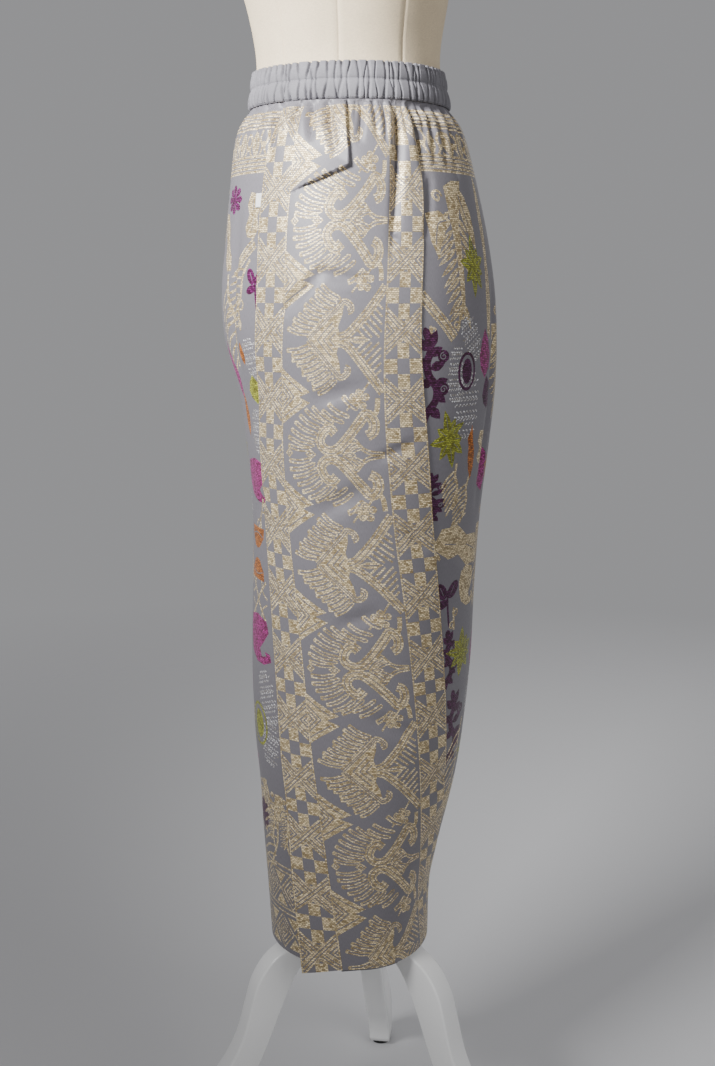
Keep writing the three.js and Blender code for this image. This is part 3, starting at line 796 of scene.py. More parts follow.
# The gathers lie above this height, and the chart is cut along the bottoms of those deeper than this
GATHERED_FROM = 1110
DEEP_GATHER = 2.5
# A millimetre round the hips, as an angle
HIP_DEGREES_PER_MM = 0.42


def two_grids(left, right, coarse, fine):
    """Grids of points that carry the cloth's form, closer together where it is gathered."""
    below = ((left, HEM + 2), (right, GATHERED_FROM), coarse)
    above = ((left, GATHERED_FROM), (right, PANEL_TOP), fine)
    return [below, above]


def fold_cuts(to_chart):
    """Lines on a chart along each deep gather's bottom, and along both sides of the flap's step."""
    cuts = []
    for kind, start_angle, start_z, end_angle, end_z, deepest, _ in FOLDS:
        if kind == "gather" and deepest > DEEP_GATHER:
            t = np.linspace(0, 1, 14)
            turns = start_angle + (end_angle - start_angle) * t
            cuts.append(to_chart(turns, start_z + (end_z - start_z) * t))
    for drop in (0, FLAP_STEP):
        path = []
        for start, end in zip(FLAP_LINE, FLAP_LINE[1:]):
            t = np.linspace(0, 1, 16)
            path += [(start[0] + (end[0] - start[0]) * k, start[1] + (end[1] - start[1]) * k) for k in t[:-1]]
        turns, heights = np.array([*path, FLAP_LINE[-1]]).T
        cuts.append(to_chart(turns + drop * HIP_DEGREES_PER_MM, heights - drop))
    return cuts


def on_side_chart(angle, z):
    """Turns angles and heights into places on the side panel's chart."""
    left, right = side_edges(z)
    return list(zip((angle - left) / (right - left) * SIDE_WIDTH, z))


side_panel = weave_panel(
    "side_panel_cloth",
    side_chart,
    lambda flat, proud: side_point(flat[:, 0] / SIDE_WIDTH, flat[:, 1], LAP_DEPTH + proud),
    songket_cloth,
    two_grids(1, SIDE_WIDTH, 5.8, 2.7),
    fold_cuts(on_side_chart),
)
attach(side_panel, "root")
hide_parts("side_panel")

# Front and back panels
# The same cloth cut from its other patterned end: gold cross bands, then flowers, sprays and fronds in
# coloured and metal thread. Each runs from under the side panel's edge round to the far side seam.

# How far each goes under the side panel, as a share of that panel's width, and half the far seam's gap
LAP_SHARE = 2 / 30
SEAM_HALF_GAP = 0.18
PANEL_SLICES = 95
# A panel's chart has its nought at this angle, and reaches this far to the side panel and the far seam
CHART_ANGLE = 60
CHART_REACH = (120, 330)
# Gold cross bands: the tops of two sets of thin lines, with medallions between them
CROSS_BAND_TOPS = (1217, 1173)
CROSS_BAND_LINES = 5
CROSS_BAND_STEP = 3.8
CROSS_BAND_LINE = 2.3
MEDALLION_HEIGHT = 1186
MEDALLION_STEP = 25.0
# A row of small fronds low on the panel, and a border of nested lozenges along its hem
FROND_ROW_HEIGHT = 450
FROND_ROW_STEP = 26.0
HEM_LINES = (396, 390, 344, 338)
HEM_LINE = 1.9
LOZENGE_HEIGHTS = (367, 313)
LOZENGE_STEP = 40.0
LOZENGE_HALVES = (19, 13.5, 8, 3.5)
LOZENGE_SLOPE = 1.12
LOZENGE_LINE = 2.1
# What is mirrored towards the far seam keeps this far from its own image, in degrees
MIRROR_GAP = 7
REPEATS_ROUND = 4


def leaf(root, tip, wide):
    """A pointed leaf between two points."""
    root, tip = np.array(root, float), np.array(tip, float)
    side = np.array([-(tip - root)[1], (tip - root)[0]])
    side *= wide / 2 / np.linalg.norm(side)
    shares = ((0, 0), (0.2, 0.75), (0.45, 1), (0.75, 0.62), (1, 0))
    left = [root + (tip - root) * t + side * w for t, w in shares]
    right = [root + (tip - root) * t - side * w for t, w in shares[-2:0:-1]]
    return [*left, *right]


def spiral(middle, radius, turns=1.25, start=0.0):
    """A curl that winds in to its middle."""
    around = np.linspace(0, turns * math.tau, 12)
    shrink = radius * (1 - 0.8 * around / around[-1])
    x = middle[0] + shrink * np.cos(around + start)
    y = middle[1] + shrink * np.sin(around + start)
    return list(zip(x, y))


def turned_at(middle, size=(1, 1), turn=0.0, flip=1):
    """Turns a figure's own millimetres into places on a chart, about its middle; sizes across and up."""
    c, s = math.cos(math.radians(turn)), math.sin(math.radians(turn))

    def place(points):
        x, y = (np.array(points, float) * size).T
        return [(middle[0] + flip * (c * a - s * b), middle[1] + s * a + c * b) for a, b in zip(x, y)]

    return place


def flower(chart, at, thread):
    """Round petals about a middle, each parted from the next."""
    for turn in range(0, 360, 45):
        chart.fill(at(oval(polar(6.4, turn), 3.7, 2.7, turn, 9)), thread)
    chart.fill(at(oval((0, 0), 7, 7)), thread)
    for turn in range(22, 360, 45):
        chart.stroke(at([polar(4, turn), polar(8, turn)]), 0.7, "ground")


def leaf_cluster(chart, at, thread):
    """Lobed leaves in a ring, as on a branch's end."""
    leaves = ((90, 17), (55, 12), (20, 14), (-20, 12), (-55, 15), (-95, 17), (-140, 13), (170, 15), (130, 12))
    for turn, reach in leaves:
        tip = polar(reach, turn)
        chart.fill(at(leaf((0, 0), tip, 6.5)), thread)
        chart.stroke(at([(0.3 * tip[0], 0.3 * tip[1]), (0.8 * tip[0], 0.8 * tip[1])]), 0.7, "ground")


def comma(chart, at, thread):
    """A drop with a curled tail."""
    body = [(-9, 20), (0, 24), (9, 20), (11, 10), (7, 0), (3, -8), (5, -15), (9, -13), (8, -9), (12, -10)]
    body += [(13, -17), (7, -22), (0, -22), (-7, -15), (-10, -4), (-11, 9)]
    chart.fill(at(body), thread)


def drop(chart, at, thread):
    """A tall leaf."""
    chart.fill(at(leaf((0, -20), (0, 20), 12)), thread)


def double_oval(chart, at, thread):
    """An eye: an oval with a ring round it."""
    chart.stroke(at([*oval((0, 0), 16, 8.5, 90, 16), (0, 16)]), 3.2, thread)
    chart.fill(at(oval((0, 0), 11.5, 5.4, 90)), thread)


def spray(chart, at, thread):
    """A thick waving stem with flame-like leaves and heavy curls."""
    stem = [(-6, -44), (-3, -33), (4, -22), (4, -10), (-3, 0), (-5, 12), (-2, 24), (-7, 42)]
    chart.stroke(at(stem), 9, thread, pointed=True)
    for root, tip in (
        ((2, -14), (14, -24)),
        ((3, -8), (15, -3)),
        ((-2, 6), (12, 12)),
        ((-3, 18), (9, 25)),
        ((-3, 24), (4, 40)),
        ((-3, 22), (-13, 33)),
        ((-4, 8), (-13, 16)),
        ((0, -4), (-11, -9)),
        ((0, -28), (10, -38)),
    ):
        chart.fill(at(leaf(root, tip, 9)), thread)
    for middle, start in (((11, -12), 0), ((10, 17), 1.5)):
        chart.fill(at(oval(middle, 5.6, 5.6)), thread)
        chart.stroke(at(spiral(middle, 3.6, start=start)), 1.1, "ground")


def trefoil(chart, at, thread):
    """Three lobes on a stem."""
    chart.fill(at(oval((-5, 8), 7, 4.2, 120)), thread)
    chart.fill(at(oval((5, 8), 7, 4.2, 60)), thread)
    chart.fill(at(oval((-4, -2), 6, 3.4, 20)), thread)
    chart.stroke(at([(0, 8), (1, -4), (3, -20)]), 3.0, thread, pointed=True)
    chart.stroke(at([(-3, 5), (-6, 11)]), 0.8, "ground")
    chart.stroke(at([(3, 5), (6, 11)]), 0.8, "ground")


def frond(chart, at, thread):
    """A drooping palm frond: a thick stem with long barbs down one side and broad leaves on the other."""
    trunk = [(-8, 74), (6, 80), (22, 80), (14, 60), (4, 36), (1, 0), (-4, -46), (-9, -46), (-8, 0), (-8, 40)]
    chart.fill(at(trunk), thread)
    for k in range(11):
        root = np.array((-6.5, 50 - 9.4 * k))
        tip = root + (-27 - 3 * math.sin(0.5 * k), -20 + 2 * math.sin(1.9 * k))
        chart.fill(at(leaf(root, tip, 6.6)), thread)
        chart.stroke(at([root * 0.75 + tip * 0.25, root * 0.2 + tip * 0.8]), 1.0, "ground")
        if k < 6:
            chart.fill(at(leaf(root + (9, -6), root + (24, -24), 5.5)), thread)
    chart.fill(at([(-9, 40), (-22, 50), (-38, 48), (-40, 20), (-34, 2), (-28, 14), (-18, 30)]), thread)
    chart.stroke(at([(-14, 40), (-27, 36), (-34, 16)]), 1.4, "ground")
    chart.fill(at(leaf((14, 76), (30, 8), 19)), thread)
    chart.stroke(at([(13, 66), (22, 34)]), 1.4, "ground")
    chart.fill(at(leaf((-6, -44), (4, -72), 7)), thread)
    chart.fill(at(leaf((-6, -40), (-16, -66), 6)), thread)
    chart.stroke(at(spiral((-20, 64), 7)), 2.4, thread)


def scroll(chart, at, thread):
    """Two curls that turn away from each other."""
    chart.stroke(at([(-12, -8), (-4, -3), (4, 3), (12, 8)]), 3.0, thread)
    chart.stroke(at(spiral((9, 1), 6.5, start=1.2)), 2.2, thread)
    chart.stroke(at(spiral((-9, -1), 6.5, start=4.3)), 2.2, thread)


def medallion(chart, at, thread):
    """A tall rounded block between two curls."""
    chart.fill(at(oval((0, 0), 14, 7, 90, 10)), thread)
    chart.stroke(at([(0, -8), (2, 0), (0, 8)]), 1.2, "ground")
    for side in (-1, 1):
        chart.stroke(at([(side * 7, -14), (side * 12, -6), (side * 9, 4), (side * 13, 13)]), 2.4, thread)
        chart.fill(at(oval((side * 15, -3), 3.2, 3.2)), thread)


def barbs(chart, at, thread):
    """Long slanted barbs from a curved spine."""
    chart.stroke(at([(14, 44), (8, 20), (10, -6), (2, -34), (-6, -50)]), 3.4, thread)
    for k in range(7):
        chart.stroke(at([(9, 30 - 11 * k), (-6, 24 - 11 * k), (-20, 10 - 11 * k)]), 2.6, thread, pointed=True)


def stipple(chart, at, thread):
    """A patch of short separate floats, in slanting rows."""
    for row in range(-7, 8):
        half = math.sqrt(1 - (row / 8) ** 2) * 12
        for step in np.arange(-half, half, 3.7):
            lean = 1 if row % 4 < 2 else -1
            start = (step + (row % 2) * 1.9, row * 3.3)
            chart.stroke(at([start, (start[0] + 2.5, start[1] + 1.4 * lean)]), 1.5, thread)


def block(chart, at, thread):
    """A tall irregular gold patch with a slit."""
    patch = [(-5, -22), (3, -24), (7, -14), (5, -2), (8, 8), (5, 20), (-4, 23), (-7, 10), (-4, 0), (-8, -12)]
    chart.fill(at(patch), thread)
    chart.stroke(at([(0, -16), (1, -4)]), 1.2, "ground")
    chart.stroke(at([(0, 5), (-1, 15)]), 1.2, "ground")


def half_moon(chart, at, thread):
    """A bowl seen from the side."""
    chart.fill(at([(-10, 11), (10, 11), (9, 2), (4, -7), (0, -9), (-4, -7), (-9, 2)]), thread)
    chart.stroke(at([(-8, 3), (0, 6), (8, 3)]), 1.2, "ground")


def crossing(chart, at, thread):
    """Two curved bands that cross."""
    for side in (-1, 1):
        band = [(side * 13, 22), (side * 4, 8), (0, 0), (-side * 4, -8), (-side * 13, -22)]
        chart.stroke(at(band), 3.2, thread)
        chart.stroke(at([(side * 6, 22), (side * 8, 10), (side * 15, 3)]), 2.2, thread)
        chart.stroke(at([(side * 6, -22), (side * 8, -10), (side * 15, -3)]), 2.2, thread)


def broad_band(chart, at, thread):
    """A slanting band of lines between dashes."""
    chart.band(at([(-20, 22), (-6, 6), (8, -8), (20, -22)]), 12, thread, line=2.4, gap=1.2)


# What is woven on a panel: figure, angle, height, sizes across and up, turn, thread
FRONT_FIGURES = [
    (flower, -67, 1132, (2.0, 1.5), 0, "purple"),
    (block, -49, 1115, (1.5, 1.0), 0, "gold"),
    (broad_band, -55, 1070, (0.8, 1.0), 93, "gold"),
    (barbs, -58, 1040, (1.1, 0.8), -14, "gold"),
    (trefoil, -45, 1043, (1.4, 1.3), 0, "purple"),
    (block, -72, 1090, (1.2, 1.4), 20, "gold"),
    (scroll, -56, 1016, (1.2, 1.2), 60, "gold"),
    (barbs, -68, 1010, (0.9, 1.0), 14, "gold"),
    (stipple, -51, 965, (1.1, 1.1), 10, "silver"),
    (drop, -57.5, 975, (0.8, 0.6), 5, "orange"),
    (drop, -72, 956, (1.3, 1.6), 18, "magenta"),
    (drop, -53.5, 938, (2.4, 0.75), 0, "lime"),
    (stipple, -57, 893, (1.1, 1.0), 0, "silver"),
    (drop, -67, 910, (1.0, 1.2), 4, "orange"),
    (comma, -64, 838, (2.5, 1.05), 0, "magenta"),
    (scroll, -62, 800, (1.5, 1.2), 50, "gold"),
    (half_moon, -68, 773, (2.1, 1.2), 0, "orange"),
    (half_moon, -68, 741, (2.1, 1.2), 180, "orange"),
    (crossing, -66, 706, (1.6, 1.0), 0, "gold"),
    (comma, -67, 660, (2.7, 1.2), 0, "magenta"),
    (stipple, -57, 596, (1.3, 1.3), 20, "silver"),
    (stipple, -56, 545, (1.3, 1.2), -10, "silver"),
    (double_oval, -67, 560, (2.4, 1.5), 0, "lime"),
    (flower, -73, 447, (1.9, 1.9), 0, "plum"),
    (barbs, -60, 434, (1.2, 1.1), -10, "gold"),
    (frond, -90, 1078, (0.8, 0.85), 0, "gold"),
    (spray, -87, 958, (1.1, 1.0), 0, "plum"),
    (leaf_cluster, -86, 868, (1.5, 1.5), 0, "lime"),
    (stipple, -86, 810, (1.2, 1.0), 0, "silver"),
    (frond, -90, 706, (0.8, 0.85), 4, "gold"),
    (double_oval, -86, 604, (1.4, 1.2), 0, "purple"),
    (scroll, -86, 560, (1.4, 1.2), 20, "gold"),
    (leaf_cluster, -86, 508, (1.4, 1.2), 0, "magenta"),
]
BACK_FIGURES = [
    (frond, 47, 1070, (0.98, 0.98), 2, "gold"),
    (leaf_cluster, 54.5, 1064, (1.6, 1.9), 0, "lime"),
    (block, 67, 1075, (0.8, 3.6), -4, "gold"),
    (broad_band, 32.5, 1014, (1.0, 1.0), 0, "gold"),
    (scroll, 29, 995, (0.7, 0.7), 60, "gold"),
    (spray, 29.5, 955, (1.35, 1.15), 0, "plum"),
    (stipple, 48, 922, (1.5, 1.5), 0, "silver"),
    (stipple, 50, 990, (1.1, 1.0), 30, "silver"),
    (stipple, 41, 955, (0.9, 1.2), 0, "silver"),
    (double_oval, 47.5, 958, (1.5, 1.15), 0, "plum"),
    (drop, 61, 975, (2.2, 1.3), 0, "magenta"),
    (drop, 64, 934, (1.9, 0.9), 10, "plum"),
    (leaf_cluster, 40, 889, (1.8, 1.9), 20, "lime"),
    (drop, 55, 872, (1.1, 1.5), 8, "orange"),
    (block, 65, 876, (1.6, 0.8), 10, "gold"),
    (drop, 71, 852, (2.4, 1.4), 8, "magenta"),
    (spray, 33, 828, (1.2, 0.65), 0, "plum"),
    (barbs, 52, 822, (0.9, 0.5), 10, "gold"),
    (scroll, 45, 790, (1.1, 1.1), 20, "gold"),
    (block, 56, 770, (2.5, 2.2), 75, "gold"),
    (comma, 64, 721, (1.9, 1.0), 0, "gold"),
    (trefoil, 46, 712, (2.0, 1.5), 0, "plum"),
    (spray, 50, 645, (1.0, 0.8), 0, "plum"),
    (leaf_cluster, 61, 648, (2.2, 1.7), 0, "lime"),
    (spray, 59, 560, (1.5, 1.1), 0, "plum"),
    (barbs, 66, 520, (1.0, 1.0), 0, "gold"),
    (scroll, 43, 1010, (0.8, 0.8), 40, "gold"),
    (barbs, 44, 838, (0.8, 0.5), 20, "gold"),
    (scroll, 36, 770, (1.0, 1.0), 100, "gold"),
    (scroll, 52, 690, (0.9, 0.9), 60, "gold"),
    (frond, 84, 960, (0.85, 0.9), 0, "gold"),
    (leaf_cluster, 82, 850, (1.5, 1.5), 0, "orange"),
    (frond, 84, 745, (0.8, 0.85), -4, "gold"),
    (double_oval, 81, 640, (1.4, 1.2), 0, "magenta"),
    (stipple, 81, 585, (1.2, 1.2), 0, "silver"),
    (leaf_cluster, 81, 520, (1.4, 1.2), 0, "lime"),
]


def seam_and_lap(height, side):
    """A neighbour's two edges as angles: at the far seam, and where it ends under the side panel."""
    left, right = side_edges(height)
    lap = (right - left) * LAP_SHARE
    seam = 180 - np.degrees(SEAM_HALF_GAP / read_at(SKIRT_OUTLINE, FAR, height))
    return (-seam, left + lap) if side < 0 else (seam, right - lap)


def cross_bands(chart, ends):
    """Two sets of thin gold lines round the hips, with a row of medallions between them."""
    for top in CROSS_BAND_TOPS:
        for line in range(CROSS_BAND_LINES):
            z = top - CROSS_BAND_STEP * line
            chart.stroke([(ends[0], z), (ends[1], z)], CROSS_BAND_LINE)
    for k, u in enumerate(np.arange(*ends, MEDALLION_STEP)):
        medallion(chart, turned_at((u, MEDALLION_HEIGHT), (0.85, 0.9), 8 * math.sin(3.7 * k)), "gold")


def frond_row(chart, ends):
    """Small fronds side by side, each turned a little from the next."""
    for k, u in enumerate(np.arange(*ends, FROND_ROW_STEP)):
        middle = (u, FROND_ROW_HEIGHT + 6 * math.sin(2.2 * k))
        frond(chart, turned_at(middle, (0.5, 0.46), 12 * math.sin(1.3 * k)), "gold")


def hem_border(chart, ends):
    """Thin lines and two rows of nested lozenges, with leaf points between them."""
    for z in HEM_LINES:
        chart.stroke([(ends[0], z), (ends[1], z)], HEM_LINE)
    for row, z in enumerate(LOZENGE_HEIGHTS):
        for u in np.arange(*ends, LOZENGE_STEP):
            middle = u + LOZENGE_STEP / 2 * row
            for half in LOZENGE_HALVES:
                left, right, tall = (middle - half, z), (middle + half, z), half * LOZENGE_SLOPE
                lozenge = [left, (middle, z + tall), right, (middle, z - tall), left]
                chart.stroke(lozenge, LOZENGE_LINE, soft=False)
            for up in (-1, 1):
                chart.fill([(middle + 20, z + up * 5), (middle + 9, z + up * 20), (middle + 31, z + up * 20)])


def weave_figures(chart, figures, side, around, first_seen, mirrored_at):
    """Sets a panel's figures on its chart, mirrored at one angle and repeated towards the far seam."""
    for repeat in range(REPEATS_ROUND):
        for number, (figure, angle, height, size, turn, thread) in enumerate(figures):
            if repeat % 2:
                if abs(angle) > mirrored_at - MIRROR_GAP:
                    continue
                angle = side * 2 * mirrored_at - angle
            angle += side * 2 * (mirrored_at - first_seen) * (repeat // 2)
            flip = -1 if repeat % 2 else 1
            uneven_turn = turn + 6 * math.sin(5.1 * number * repeat)
            figure(chart, turned_at((around(angle, height), height), size, uneven_turn, flip), thread)


def neighbour(name, side, figures, first_seen, mirrored_at):
    """Weaves the panel on one side of the side panel and lays it on the body."""
    first_angle = CHART_ANGLE * side
    beside = LEFT if side < 0 else RIGHT
    near, far = CHART_REACH
    ends = (-far, near) if side < 0 else (-near, far)

    def radius_at(height):
        return (read_at(SKIRT_OUTLINE, NEAR, height) + read_at(SKIRT_OUTLINE, beside, height)) / 2

    def around(angle, height):
        return np.radians(angle - first_angle) * radius_at(height)

    def place(flat, proud):
        return skirt_point(first_angle + np.degrees(flat[:, 0] / radius_at(flat[:, 1])), flat[:, 1], proud)

    heights = np.linspace(HEM, PANEL_TOP, PANEL_SLICES)
    seam, lap = seam_and_lap(heights, side)
    seam_edge = [(around(a, z), z) for a, z in zip(seam, heights)]
    lap_edge = [(around(a, z), z) for a, z in zip(lap, heights)]
    chart = Chart([*seam_edge, *lap_edge[::-1]])
    cross_bands(chart, ends)
    frond_row(chart, ends)
    weave_figures(chart, figures, side, around, first_seen, mirrored_at)
    hem_border(chart, ends)
    cuts = fold_cuts(lambda angle, z: list(zip(around(angle, z), z)))
    panel = weave_panel(name, chart, place, songket_cloth, two_grids(*ends, 6.2, 3.0), cuts)
    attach(panel, "root")
    return panel


front_panel = neighbour("front_panel_cloth", -1, FRONT_FIGURES, first_seen=45, mirrored_at=86)
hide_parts("front_panel")

back_panel = neighbour("back_panel_cloth", 1, BACK_FIGURES, first_seen=26, mirrored_at=80)
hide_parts("back_panel")

# Hem facing
# A strip of plain lilac-grey cotton, stitched flat behind the side panel's hem to face it. Near the front
# corner it shows just below the hem.

# Its two ends as shares of the side panel's width, its top and foot, and its two sides off the cloth
FACING_SHARES = (6 / 30, 17 / 30)
FACING_TOP = HEM + 26
FACING_BOTTOM = HEM - 3
FACING_FRONT = -0.7
FACING_BACK = -1.5


def plain_weave(name, colour, grain=0.9, soft_marks=0.1):
    """Plain cotton: two ways of fine thread, and faint uneven dye."""
    material, tree, shader = new_material(name)
    place = wire(tree, "TexCoord")
    mm = wire(tree, "VectorMath", {0: place.outputs["Object"], "Scale": 1 / MM}, operation="SCALE")
    up_thread = wire(tree, "VectorMath", {0: mm.outputs[0], 1: (2.4, 2.4, 0.3)}, operation="MULTIPLY")
    across_thread = wire(tree, "VectorMath", {0: mm.outputs[0], 1: (0.3, 0.3, 2.4)}, operation="MULTIPLY")
    warp = wire(tree, "TexNoise", {"Vector": up_thread.outputs[0], "Scale": grain, "Detail": 2.0})
    weft = wire(tree, "TexNoise", {"Vector": across_thread.outputs[0], "Scale": grain, "Detail": 2.0})
    woven = wire(tree, "Math", {0: warp.outputs[0], 1: weft.outputs[0]}, operation="ADD")
    marks = wire(tree, "TexNoise", {"Vector": mm.outputs[0], "Scale": 0.03, "Detail": 1.0})
    light = ranged(tree, woven.outputs[0], (0.7, 1.3), (0.86, 1.12))
    faded = ranged(tree, marks.outputs[0], (0.3, 0.7), (1 - soft_marks, 1 + soft_marks))
    both = wire(tree, "Math", {0: light, 1: faded}, operation="MULTIPLY")
    dyed = wire(tree, "VectorMath", {0: colour, "Scale": both.outputs[0]}, operation="SCALE")
    tree.links.new(dyed.outputs[0], shader.inputs["Base Color"])
    bump = wire(tree, "Bump", {"Height": woven.outputs[0], "Strength": 0.35, "Distance": 0.0003})
    tree.links.new(bump.outputs[0], shader.inputs["Normal"])
    shader.inputs["Roughness"].default_value = 0.8
    return material


def wall_of_cloth(name, outer, inner, material, ring=False):
    """Two grids of points joined at their edges; a ring's first column is also its last."""
    rows, columns = outer.shape[:2]
    across = columns if ring else columns - 1
    number = np.arange(rows * columns).reshape(rows, columns)
    if ring:
        number = np.concatenate([number, number[:, :1]], axis=1)
    back = number + rows * columns
    faces = []
    for r in range(rows - 1):
        for c in range(across):
            a, b, d, e = number[r, c], number[r, c + 1], number[r + 1, c + 1], number[r + 1, c]
            faces.append((a, b, d, e))
            a, b, d, e = back[r, c], back[r, c + 1], back[r + 1, c + 1], back[r + 1, c]
            faces.append((e, d, b, a))
    for c in range(across):
        faces.append((number[0, c + 1], number[0, c], back[0, c], back[0, c + 1]))
        faces.append((number[-1, c], number[-1, c + 1], back[-1, c + 1], back[-1, c]))
    if not ring:
        for r in range(rows - 1):
            faces.append((number[r, 0], number[r + 1, 0], back[r + 1, 0], back[r, 0]))
            faces.append((number[r + 1, -1], number[r, -1], back[r, -1], back[r + 1, -1]))
    points = np.concatenate([outer.reshape(-1, 3), inner.reshape(-1, 3)])
    return mesh_piece(name, points, faces, material)


lilac_cotton = plain_weave("lilac_cotton", (0.18, 0.174, 0.192))
across, heights = np.meshgrid(np.linspace(*FACING_SHARES, 40), np.linspace(FACING_BOTTOM, FACING_TOP, 12))


def facing_point(proud):
    """Points on the facing, straight down from the side panel where its hem begins to drop."""
    above = side_point(across, np.full_like(heights, CORNER_FROM), proud)
    below = side_point(across, np.full_like(heights, HEM), proud)
    return below + (above - below) * ((heights - HEM) / (CORNER_FROM - HEM))[..., None]


facing_sides = facing_point(FACING_FRONT), facing_point(FACING_BACK)
hem_facing = wall_of_cloth("hem_facing_cloth", *facing_sides, lilac_cotton)
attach(hem_facing, "root")
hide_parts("hem_facing")

# Side label
# A small white woven tape, left blank. One edge is caught in the seam at the side panel's front edge, and
# the other stands a little off the cloth.

# Its place and size, then how far its two sides and its free edge stand off
LABEL_MIDDLE = 1129
LABEL_TALL = 14
LABEL_WIDE = 8
LABEL_OUTSIDE = 0.9
LABEL_INSIDE = 0.4
LABEL_CURL = 0.5
tape = plain_weave("white_tape", (0.78, 0.78, 0.77), grain=1.4, soft_marks=0.03)
degrees_per_mm = math.degrees(1 / float(read_at(SKIRT_OUTLINE, NEAR, LABEL_MIDDLE)))
label_right = float(read_at(SIDE_EDGES, LEFT, LABEL_MIDDLE)) - 0.5 * degrees_per_mm
label_left = label_right - LABEL_WIDE * degrees_per_mm
across, heights = np.meshgrid(
    np.linspace(label_left, label_right, 9),
    np.linspace(LABEL_MIDDLE - LABEL_TALL / 2, LABEL_MIDDLE + LABEL_TALL / 2, 12),
)
curl = LABEL_CURL * ((label_right - across) / (label_right - label_left)) ** 2
label_sides = [skirt_point(across, heights, proud + curl) for proud in (LABEL_OUTSIDE, LABEL_INSIDE)]
side_label = wall_of_cloth("side_label_tape", *label_sides, tape)
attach(side_label, "root")
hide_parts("side_label")

# Waistband
# One plain cotton casing, folded double and stitched along its middle into two channels. An elastic in
# each gathers it into small uneven folds that lean, and its top edge stands up in a narrow frill.
BAND_COLUMNS = 1100
BAND_ROWS = 37
# How far the band puffs off the form: z, puff
PUFF = 1
BAND_PUFF = [
    (1227, 3.0),
    (1230, 4.8),
    (1236, 5.6),
    (1242, 5.0),
    (1245.5, 3.9),
    (1246.5, 3.2),
    (1247.5, 3.9),
    (1251, 4.6),
    (1256, 4.6),
    (1260, 3.8),
    (1264, 3.4),
]
# The gathers: how many, how deep and how wide each is, on average, and how sharp
GATHERS = 92
GATHER_DEPTH = 5.0
GATHER_HALF_WIDTH = 1.9
GATHER_POINT = 1.4
# The casing's two sides off the form, the least puff left under a gather, and how far the frill dips
LEAST_PUFF = 0.2
CASING_OUTSIDE = 1.8
CASING_INSIDE = 0.5
FRILL_DIP = 1.3
BAND_RADIUS = 100
CHANNEL_SEAM = 1246.5
# The form is cut off flat this far to either side, at its armholes
ARMHOLE_PLANE = 152


def form_point(angle, z, proud):
    """Points on the dress form's surface, or proud of it."""
    sine, cosine = np.sin(np.radians(angle)), np.cos(np.radians(angle))
    along = np.where(sine < 0, read_at(FORM_OUTLINE, LEFT, z), read_at(FORM_OUTLINE, RIGHT, z)) + proud
    side = (read_at(FORM_OUTLINE, HALF_WIDTH, z) + proud) * cosine
    return on_axis(along * sine, -np.clip(side, -ARMHOLE_PLANE, ARMHOLE_PLANE), z)


across, heights = np.meshgrid(
    np.linspace(-180, 180, BAND_COLUMNS, endpoint=False), np.linspace(BAND_BOTTOM, BAND_TOP, BAND_ROWS)
)
puff = read_at(BAND_PUFF, PUFF, heights)
dip = np.zeros_like(across)
share = (heights - BAND_BOTTOM) / (BAND_TOP - BAND_BOTTOM)
for i in range(GATHERS):
    centre = -180 + 360 * (i + 0.33 * math.sin(4.7 * i) + 0.12 * math.sin(1.3 * i)) / GATHERS
    lean = 1.5 * math.sin(2.3 * i) + 0.8 * math.sin(5.9 * i)
    bend = 0.5 * np.sin(2 * np.pi * share + 3.1 * i)
    turn = across - centre - lean * (share - 0.5) - bend
    turn = turn - 360 * np.round(turn / 360)
    width = GATHER_HALF_WIDTH * (1 + 0.35 * math.sin(3.3 * i))
    reach = 0.72 + 0.28 * np.cos(2 * np.pi * share) + 0.15 * np.sin(4 * np.pi * share + 1.9 * i)
    depth = GATHER_DEPTH * (0.85 + 0.3 * math.sin(6.1 * i + 1)) * reach
    away = np.minimum(np.abs(np.radians(turn)) * BAND_RADIUS / width, 1)
    dip = np.maximum(dip, depth * (1 - away) ** GATHER_POINT)
frill = FRILL_DIP * dip / GATHER_DEPTH * share**6
gathered = np.maximum(puff - dip, LEAST_PUFF)
outer = form_point(across, heights, gathered + CASING_OUTSIDE)
inner = form_point(across, heights, gathered + CASING_INSIDE)
outer[..., 2] -= frill * MM
inner[..., 2] -= frill * MM
waistband = wall_of_cloth("waistband_casing", outer, inner, lilac_cotton, ring=True)
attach(waistband, "root")
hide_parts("waistband")

# Waistband stitches
# Two rows of lilac sewing thread through the casing: along its middle, where it parts the two channels,
# and along its foot, where it is sewn to the skirt. Each stitch arches over the cloth and dips into it.
FOOT_SEAM = BAND_BOTTOM + 1.8
STITCH_ROWS = (CHANNEL_SEAM, FOOT_SEAM)
STITCH_SIZES = {"Pitch": 3.0 * MM, "Length": 2.3 * MM, "Radius": 0.24 * MM, "Rise": 0.3 * MM}
STITCH_SEED = 7


